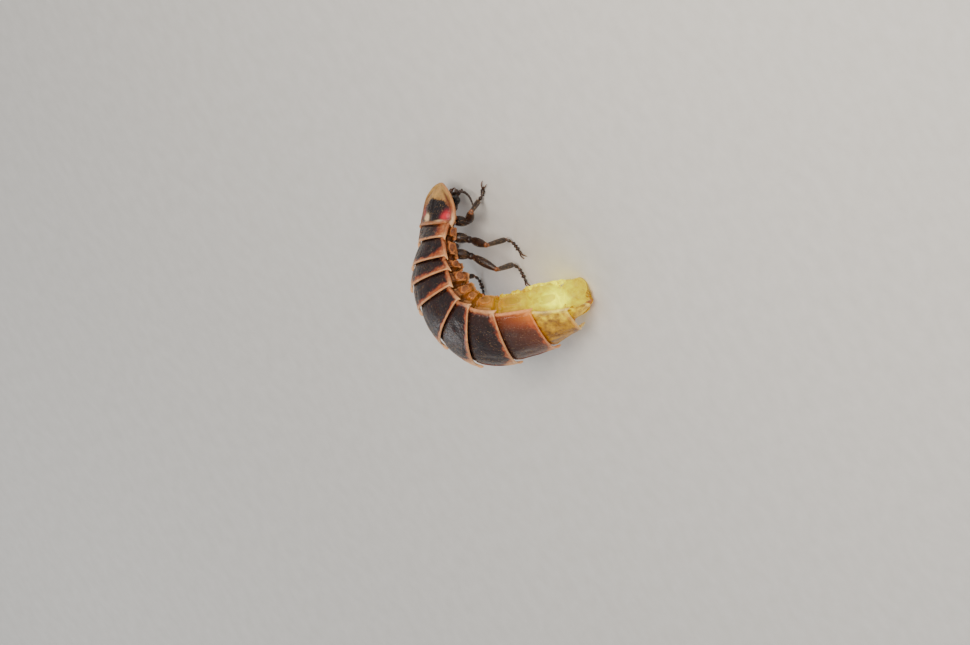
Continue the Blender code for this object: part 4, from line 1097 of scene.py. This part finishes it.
def makeSkull():
    form = headForm
    shape = throughKnots(skullKnots, 70)
    angle = np.linspace(0, 2 * math.pi, 72, endpoint=False)[None, :]
    y = form["halfWidth"] * shape[:, 1:2] * np.sign(np.sin(angle)) * np.abs(np.sin(angle)) ** 0.9
    z = form["halfHeight"] * shape[:, 2:3] * np.sign(np.cos(angle)) * np.abs(np.cos(angle)) ** 0.9
    along = shape[:, :1] + 0 * angle
    rings = headAt(along, y, z)
    facing = ringNormals(rings)
    above = np.cos(angle)
    relief = -0.05 * bump(np.abs(y) - 0.17, 0.07) * soft(0.2, 0.8, above) * bump(along - 0.7, 0.2)
    relief += 0.05 * bump(y, 0.09) * soft(0.2, 0.8, above) * bump(along - 0.72, 0.14)
    relief -= 0.04 * bump(along - 0.88, 0.025) * soft(-0.3, 0.4, above)           # seam above the lip
    relief -= 0.03 * bump(y, 0.03) * soft(0.3, 0.8, above) * soft(0.6, 0.3, along)   # seam down the crown
    fromEye = np.hypot((along - form["eyeAt"]) * form["length"], z)
    relief += 0.05 * bump(fromEye - 0.38, 0.06) * soft(0.4, 0.6, np.abs(y))       # rim round the eye
    relief -= 0.04 * bump(np.abs(y) - 0.15, 0.05) * soft(-0.2, -0.8, above)       # seams under the throat
    relief += 0.012 * lumps(rings, 0.2) + 0.008 * grains(rings, 0.09)
    rings = rings + facing * relief[..., None]
    pale = np.clip(bump(along - 0.88, 0.03) * soft(-0.3, 0.4, above) * 0.6 + bump(along, 0.06), 0, 1)
    return tubeShell(rings, {"joint": pale})


def mouthPath(part, side):
    return [headAt(share, side * out, up) for share, out, up in mouthKnots[part]]


def makeMouth():
    shells = []
    fine = np.linspace(0, 1, 22)
    for side in (1, -1):
        jaw = throughKnots(mouthPath("jaw", side), 22)
        shells.append(limb(jaw, 0.105 * (1 - 0.88 * fine**1.6), 14, 0.7, {"joint": 0.5 * fine}))
        for palp, thick in palpRadii.items():
            knots = mouthPath(palp, side)
            for i, (start, end) in enumerate(zip(knots, knots[1:])):
                close, tip = (0.55, 0.12) if i == len(knots) - 2 else (0.85, 0.35)
                profile = [(-0.08, 0.3), (0.1, 0.75), (0.6, 1.0), (0.92, close), (1.05, tip)]
                shells.append(joint(start, end, [(a, b * thick) for a, b in profile], 10, 1.0, 14))
        socket = throughKnots(mouthPath("socket", side), 8)  # raised ring that the feeler turns in
        shells.append(limb(socket, socketRadii, 18, 1.0, {"joint": np.linspace(0, 1, 8)}))
    lip = throughKnots(mouthPath("lip", 1), 16)
    wide = throughKnots([[0.20], [0.22], [0.17], [0.04]], 16)[:, 0]
    shells.append(limb(lip, wide, 22, 0.35, {"joint": np.linspace(0, 0.5, 16)}))
    return shells


def feelerKnots(side):
    knots = [headAt(0.84, side * 0.28, 0.16), placeFront(2.55, side * 0.52, -headForm["drop"] + 0.06)]
    knots += [placeFront(x, side * y, -headForm["drop"] - z) for x, y, z in
              ((2.66, 0.86, 0.14), (2.58, 1.16, 0.38), (2.30, 1.38, 0.64), (1.95, 1.46, 0.84))]
    return knots


makePiece("headCapsule", joined([makeSkull()] + makeMouth()), hornFinish, ["head"])

# Geometry Nodes: bead chains, eye facets, breathing holes and bristles

def newTree(name, inputs):  # inputs: name -> (socket kind, default)
    tree = bpy.data.node_groups.new(name, "GeometryNodeTree")
    tree.interface.new_socket("Geometry", in_out="INPUT", socket_type="NodeSocketGeometry")
    for label, (kind, value) in inputs.items():
        socket = tree.interface.new_socket(label, in_out="INPUT", socket_type="NodeSocket" + kind)
        socket.default_value = value
    tree.interface.new_socket("Geometry", in_out="OUTPUT", socket_type="NodeSocketGeometry")
    return tree, addNode(tree, "NodeGroupInput").node.outputs


def endTree(tree, geometry, material):
    real = addNode(tree, "GeometryNodeRealizeInstances", [geometry])
    coated = addNode(tree, "GeometryNodeSetMaterial", {"Geometry": real, "Material": material})
    addNode(tree, "NodeGroupOutput", [coated])
    return tree


def grow(name, host, tree, values):  # runs a tree on a host and keeps the result as a plain mesh
    modifier = host.modifiers.new("grow", "NODES")
    modifier.node_group = tree
    for item in tree.interface.items_tree:
        if item.in_out == "INPUT" and item.name in values:
            modifier[item.identifier] = values[item.name]
    graph = bpy.context.evaluated_depsgraph_get()
    grown = host.evaluated_get(graph)
    mesh = bpy.data.meshes.new_from_object(grown, preserve_all_data_layers=True, depsgraph=graph)
    mesh.name = name
    host.modifiers.clear()
    bpy.data.objects.remove(host, do_unlink=True)
    return linked(name, mesh)


def beadTree():  # beads along a path, each a swollen joint, smaller to the tip
    tree, given = newTree("feelerBeads", {
        "Joints": ("Int", 11), "Radius": ("Float", 0.125 * mm), "Tip radius": ("Float", 0.069 * mm),
        "Bead length": ("Float", 0.165 * mm)})
    curve = addNode(tree, "GeometryNodeMeshToCurve", [given["Geometry"]])
    spaced = addNode(tree, "GeometryNodeResampleCurve", {"Curve": curve, "Count": given["Joints"]})
    ball = addNode(tree, "GeometryNodeMeshUVSphere", {"Segments": 16, "Rings": 10, "Radius": 1.0})
    at = addNode(tree, "GeometryNodeInputPosition")
    height = addNode(tree, "ShaderNodeSeparateXYZ", [at], "Z")
    flare = addNode(tree, "ShaderNodeMapRange", [height, -1.0, 0.8, 0.72, 1.08])
    across = addNode(tree, "ShaderNodeCombineXYZ", [flare, flare, 1.0])
    shaped = addNode(tree, "ShaderNodeVectorMath", [at, across], operation="MULTIPLY")
    bead = addNode(tree, "GeometryNodeSetPosition", {"Geometry": ball, "Position": shaped})
    tangent = addNode(tree, "GeometryNodeInputTangent")
    turned = addNode(tree, "FunctionNodeAlignRotationToVector", {"Vector": tangent}, axis="Z")
    along = addNode(tree, "GeometryNodeSplineParameter", out="Factor")
    wide = addNode(tree, "ShaderNodeMapRange", [along, 0.0, 1.0, given["Radius"], given["Tip radius"]])
    size = addNode(tree, "ShaderNodeCombineXYZ", [wide, wide, given["Bead length"]])
    parts = {"Points": spaced, "Instance": bead, "Rotation": turned, "Scale": size}
    beads = addNode(tree, "GeometryNodeInstanceOnPoints", parts)
    return endTree(tree, addNode(tree, "GeometryNodeSetShadeSmooth", [beads]), hornFinish)


def facetTree():  # domed six-sided lenses over a ball, from the dual of an icosphere
    tree, given = newTree("eyeFacets", {"Radius": ("Float", 0.33 * mm), "Finer": ("Int", 4),
                                        "Lens height": ("Float", 0.012 * mm), "Lens size": ("Float", 0.62)})
    ball = addNode(tree, "GeometryNodeMeshIcoSphere", [given["Radius"], given["Finer"]])
    sixSided = addNode(tree, "GeometryNodeDualMesh", [ball])
    push = {"Mesh": sixSided, "Offset Scale": given["Lens height"], "Individual": True}
    pushed = addNode(tree, "GeometryNodeExtrudeMesh", push, mode="FACES").node.outputs
    shrink = {"Geometry": pushed["Mesh"], "Selection": pushed["Top"], "Scale": given["Lens size"]}
    domed = addNode(tree, "GeometryNodeScaleElements", shrink)
    eyes = addNode(tree, "GeometryNodeInstanceOnPoints", {"Points": given["Geometry"], "Instance": domed})
    return endTree(tree, eyes, eyeFinish)


def spiracleTree():  # raised ring round each breathing hole
    tree, given = newTree("spiracles", {
        "Ring radius": ("Float", 0.075 * mm), "Ring thickness": ("Float", 0.022 * mm)})
    circles = ({"Resolution": count, "Radius": given[label]}
               for count, label in ((20, "Ring radius"), (8, "Ring thickness")))
    loop, wire = (addNode(tree, "GeometryNodeCurvePrimitiveCircle", circle) for circle in circles)
    ring = addNode(tree, "GeometryNodeCurveToMesh", {"Curve": loop, "Profile Curve": wire})
    outward = addNode(tree, "GeometryNodeInputNamedAttribute", {"Name": "outward"}, data_type="FLOAT_VECTOR")
    turned = addNode(tree, "FunctionNodeAlignRotationToVector", {"Vector": outward}, axis="Z")
    parts = {"Points": given["Geometry"], "Instance": ring, "Rotation": turned}
    return endTree(tree, addNode(tree, "GeometryNodeInstanceOnPoints", parts), flankFinish)


def bristleTree():  # bent bristles scattered over a surface; OFBake keeps each one's root place on the unwrap
    tree, given = newTree("bristles", {
        "Per square m": ("Float", 15.0 / mm**2), "Length": ("Float", 0.13 * mm),
        "Radius": ("Float", 0.0065 * mm), "Bend": ("Float", 0.028 * mm), "Lift": ("Float", 0.45),
        "Spread": ("Float", 0.22), "Seed": ("Int", 5), "Patch size": ("Float", 0.003)})
    carried = {}
    for label in ("outward", "lie", "rootUv", "patchUv"):
        named = {"Name": label}
        carried[label] = addNode(tree, "GeometryNodeInputNamedAttribute", named, data_type="FLOAT_VECTOR")
    scatter = {"Mesh": given["Geometry"], "Seed": given["Seed"], "Density": given["Per square m"]}
    roots = addNode(tree, "GeometryNodeDistributePointsOnFaces", scatter)
    taper = {"Vertices": 4, "Side Segments": 3, "Radius Top": 0.15, "Radius Bottom": 1.0, "Depth": 1.0}
    cone = addNode(tree, "GeometryNodeMeshCone", taper).node.outputs
    layer = {"Geometry": cone["Mesh"], "Name": "patchUv", "Value": cone["UV Map"]}
    patched = addNode(tree, "GeometryNodeStoreNamedAttribute", layer, data_type="FLOAT2", domain="CORNER")
    at = addNode(tree, "GeometryNodeInputPosition")
    height = addNode(tree, "ShaderNodeSeparateXYZ", [at], "Z")
    curl = addNode(tree, "ShaderNodeMath", [height, 2.0], operation="POWER")
    bend = addNode(tree, "ShaderNodeMath", [curl, given["Bend"]], operation="MULTIPLY")
    bent = addNode(tree, "ShaderNodeCombineXYZ", [bend])
    sized = addNode(tree, "ShaderNodeCombineXYZ", [given["Radius"], given["Radius"], given["Length"]])
    shaped = addNode(tree, "ShaderNodeVectorMath", [at, sized, bent], operation="MULTIPLY_ADD")
    bristle = addNode(tree, "GeometryNodeSetPosition", {"Geometry": patched, "Position": shaped})
    chance = {0: (-1, -1, -1), 1: (1, 1, 1), "Seed": given["Seed"]}
    stray = addNode(tree, "FunctionNodeRandomValue", chance, data_type="FLOAT_VECTOR")
    way = carried["lie"]
    for aside, share in ((carried["outward"], given["Lift"]), (stray, given["Spread"])):
        part = addNode(tree, "ShaderNodeVectorMath", {0: aside, "Scale": share}, operation="SCALE")
        way = addNode(tree, "ShaderNodeVectorMath", [way, part], operation="ADD")
    turned = addNode(tree, "FunctionNodeAlignRotationToVector", {"Vector": way}, axis="Z")
    lying = {"Rotation": turned, "Vector": carried["lie"]}
    settled = addNode(tree, "FunctionNodeAlignRotationToVector", lying, axis="X", pivot_axis="Z")
    span = {2: 0.6, 3: 1.1, "Seed": given["Seed"]}
    size = addNode(tree, "FunctionNodeRandomValue", span, 1, data_type="FLOAT")
    parts = {"Points": roots, "Instance": bristle, "Rotation": settled, "Scale": size}
    spread = addNode(tree, "GeometryNodeInstanceOnPoints", parts)
    real = addNode(tree, "GeometryNodeRealizeInstances", [spread])
    patch = {0: carried["patchUv"], "Scale": given["Patch size"]}
    small = addNode(tree, "ShaderNodeVectorMath", patch, operation="SCALE")
    spot = addNode(tree, "ShaderNodeVectorMath", [carried["rootUv"], small], operation="ADD")
    layer = {"Geometry": real, "Name": "OFBake", "Value": spot}
    kept = addNode(tree, "GeometryNodeStoreNamedAttribute", layer, data_type="FLOAT2", domain="CORNER")
    for label in carried:
        kept = addNode(tree, "GeometryNodeRemoveAttribute", {"Geometry": kept, "Name": label})
    return endTree(tree, kept, setaFinish)


def bristleHost(name, sheets):  # sheets side by side on one unwrap
    faces, columns, start = [], [], 0
    across = math.ceil(math.sqrt(len(sheets)))
    for n, (grid, outward, lie) in enumerate(sheets):
        rows, cols = grid.shape[:2]
        index = np.arange(rows * cols).reshape(rows, cols)
        quads = np.stack([index[:-1, :-1], index[:-1, 1:], index[1:, 1:], index[1:, :-1]], -1).reshape(-1, 4)
        lowest = grid.reshape(-1, 3)[quads][..., 2].min(axis=-1)
        faces += (quads[lowest > 0.16] + start).tolist()  # no bristles at the floor
        u, v = np.meshgrid(np.linspace(0.03, 0.97, cols), np.linspace(0.03, 0.97, rows))
        spot = np.stack([(u + n % across) / across, (v + n // across) / across, 0 * u], -1)
        columns.append([values.reshape(-1, 3) for values in (grid, outward, lie, spot)])
        start += rows * cols
    points, outs, lies, spots = (np.concatenate(column) for column in zip(*columns))
    return newObject(name, points, (), faces, {"outward": outs, "lie": lies, "rootUv": spots})


beads, facets, spiracles, bristles = beadTree(), facetTree(), spiracleTree(), bristleTree()
for side, word in ((1, "left"), (-1, "right")):
    curve = throughKnots(feelerKnots(side), 60)
    path = newObject("feelerPath_" + word, curve, [(i, i + 1) for i in range(len(curve) - 1)])
    radius = headForm["feelerRadius"] * mm
    beadValues = {"Joints": headForm["feelerJoints"], "Radius": radius, "Tip radius": 0.55 * radius}
    dress(grow("feeler_" + word, path, beads, beadValues), hornFinish, ["antenna_" + word])
    spot = newObject("eyeSpot_" + word, [headAt(headForm["eyeAt"], side * 0.60, 0.02)])
    eye = grow("eyeLens_" + word, spot, facets, {"Radius": headForm["eyeRadius"] * mm})
    dress(eye, eyeFinish, ["eye_" + word])
print("head, eyes and feelers made")

spiracleForm = {"along": 0.40, "level": 0.56, "standsOut": 0.125}  # shares of length and depth, and mm
spots, outward = [], []
for k in segments[2:7]:  # the last ones are lost in the light
    width, _, depth = section(k, 0.5)
    out = width - bodyForm["overhang"] + skinForm["bulge"] + spiracleForm["standsOut"]
    at = spiracleForm["along"] - marginLead(1.0) / bodyRings[k][1]
    for side in (1, -1):
        spots.append(place(k, at, side * out, -spiracleForm["level"] * depth))
        outward.append(side * framesAt(k, np.array(at))[1][:, 1])
holes = grow("spiracles", newObject("spiracleSpots", spots, marks={"outward": outward}), spiracles, {})
dress(holes, flankFinish, allTrunk[2:7])

allLegs = ["leg_" + name for name in footPlaces]
coats = (  # surfaces, slot, nodes, bristles to a square mm, their mm of length
    ("backBristles", backSheets, "back_plate", allTrunk, 15.0, 0.13),
    ("shieldBristles", shieldSheets, "shield", ["pronotum"], 22.0, 0.11),
    ("legBristles", legSheets, "horn", allLegs, 30.0, 0.15),
)
for name, sheets, slot, nodes, perSquareMm, length in coats:
    values = {"Per square m": perSquareMm / mm**2, "Length": length * mm}
    dress(grow(name, bristleHost(name + "Host", sheets), bristles, values), setaFinish, nodes)
print("breathing holes and bristles made")

# Floor, light and camera

studio = {
    "lensMm": 150.0, "frameWidth": 64.7,                      # mm of the model's space across the picture
    "aim": (-2.92, 0.50, 4.21),                               # mm, middle of the picture
    "right": (-0.483, -0.507, -0.714), "up": (0.865, -0.149, -0.479),
    "floorSize": 2000.0, "sensorMm": 36.0,
    "lights": {  # direction, mm away, mm across, watts, colour
        "keyLight": ((0.45, -0.75, 0.95), 120, 60, 0.12, "#fff4e6"),
        "fillLight": ((-0.9, -0.3, 0.7), 150, 110, 0.035, "#f4f4f4"),
        "backLight": ((-0.2, 0.9, 0.6), 140, 60, 0.03, "#ffffff"),
    },
    "air": "#e9e9ec", "airStrength": 0.50,
}


def makeFloor():
    # Painted board, matt: pale and even, with the faintest tooth.
    material, tree, shader, at = newMaterial("mattPaintedBoard", IOR=1.45)
    feed(tree, shader, Base_Color=stained(tree, blotches(tree, at, 1.2), "#e2e0da", "#eae8e3"),
         Roughness=blotches(tree, at, 1.2, 0.75, 0.85))
    grained(tree, shader, at, 0.5, 0.002, 0.3, 0.01)
    half = studio["floorSize"] / 2
    corners = [(-half, -half, 0), (half, -half, 0), (half, half, 0), (-half, half, 0)]
    floor = newObject("studioFloor", corners, (), [(0, 1, 2, 3)])
    floor.data.materials.append(material)


def addLight(name, direction, distance, size, power, hexColour):
    lamp = bpy.data.lights.new(name, "AREA")
    lamp.shape, lamp.size = "DISK", size * mm
    lamp.energy = power
    lamp.color = linear(hexColour)[:3]
    obj = linked(name, lamp)
    way = Vector(direction).normalized()
    obj.location = way * distance * mm + Vector((0, 0, 3 * mm))
    obj.rotation_mode = "QUATERNION"
    obj.rotation_quaternion = way.to_track_quat("Z", "Y")


def makeCamera():
    data = bpy.data.cameras.new("studioCamera")
    data.lens, data.sensor_width, data.clip_start = studio["lensMm"], studio["sensorMm"], 0.01
    right, up = (Vector(studio[key]).normalized() for key in ("right", "up"))
    up = (up - right * up.dot(right)).normalized()
    back = right.cross(up)
    away = studio["frameWidth"] * mm * studio["lensMm"] / studio["sensorMm"]
    turned = Matrix((right, up, back)).transposed().to_4x4()
    camera = linked("studioCamera", data)
    camera.matrix_world = Matrix.Translation(Vector(studio["aim"]) * mm + back * away) @ turned
    bpy.context.scene.camera = camera


def makeAir():
    world = bpy.data.worlds.new("studioAir")
    world.use_nodes = True
    background = world.node_tree.nodes["Background"]
    background.inputs["Color"].default_value = linear(studio["air"])
    background.inputs["Strength"].default_value = studio["airStrength"]
    bpy.context.scene.world = world


makeFloor()
for name, light in studio["lights"].items():
    addLight(name, *light)
makeAir()
makeCamera()
print("floor, light and camera set")
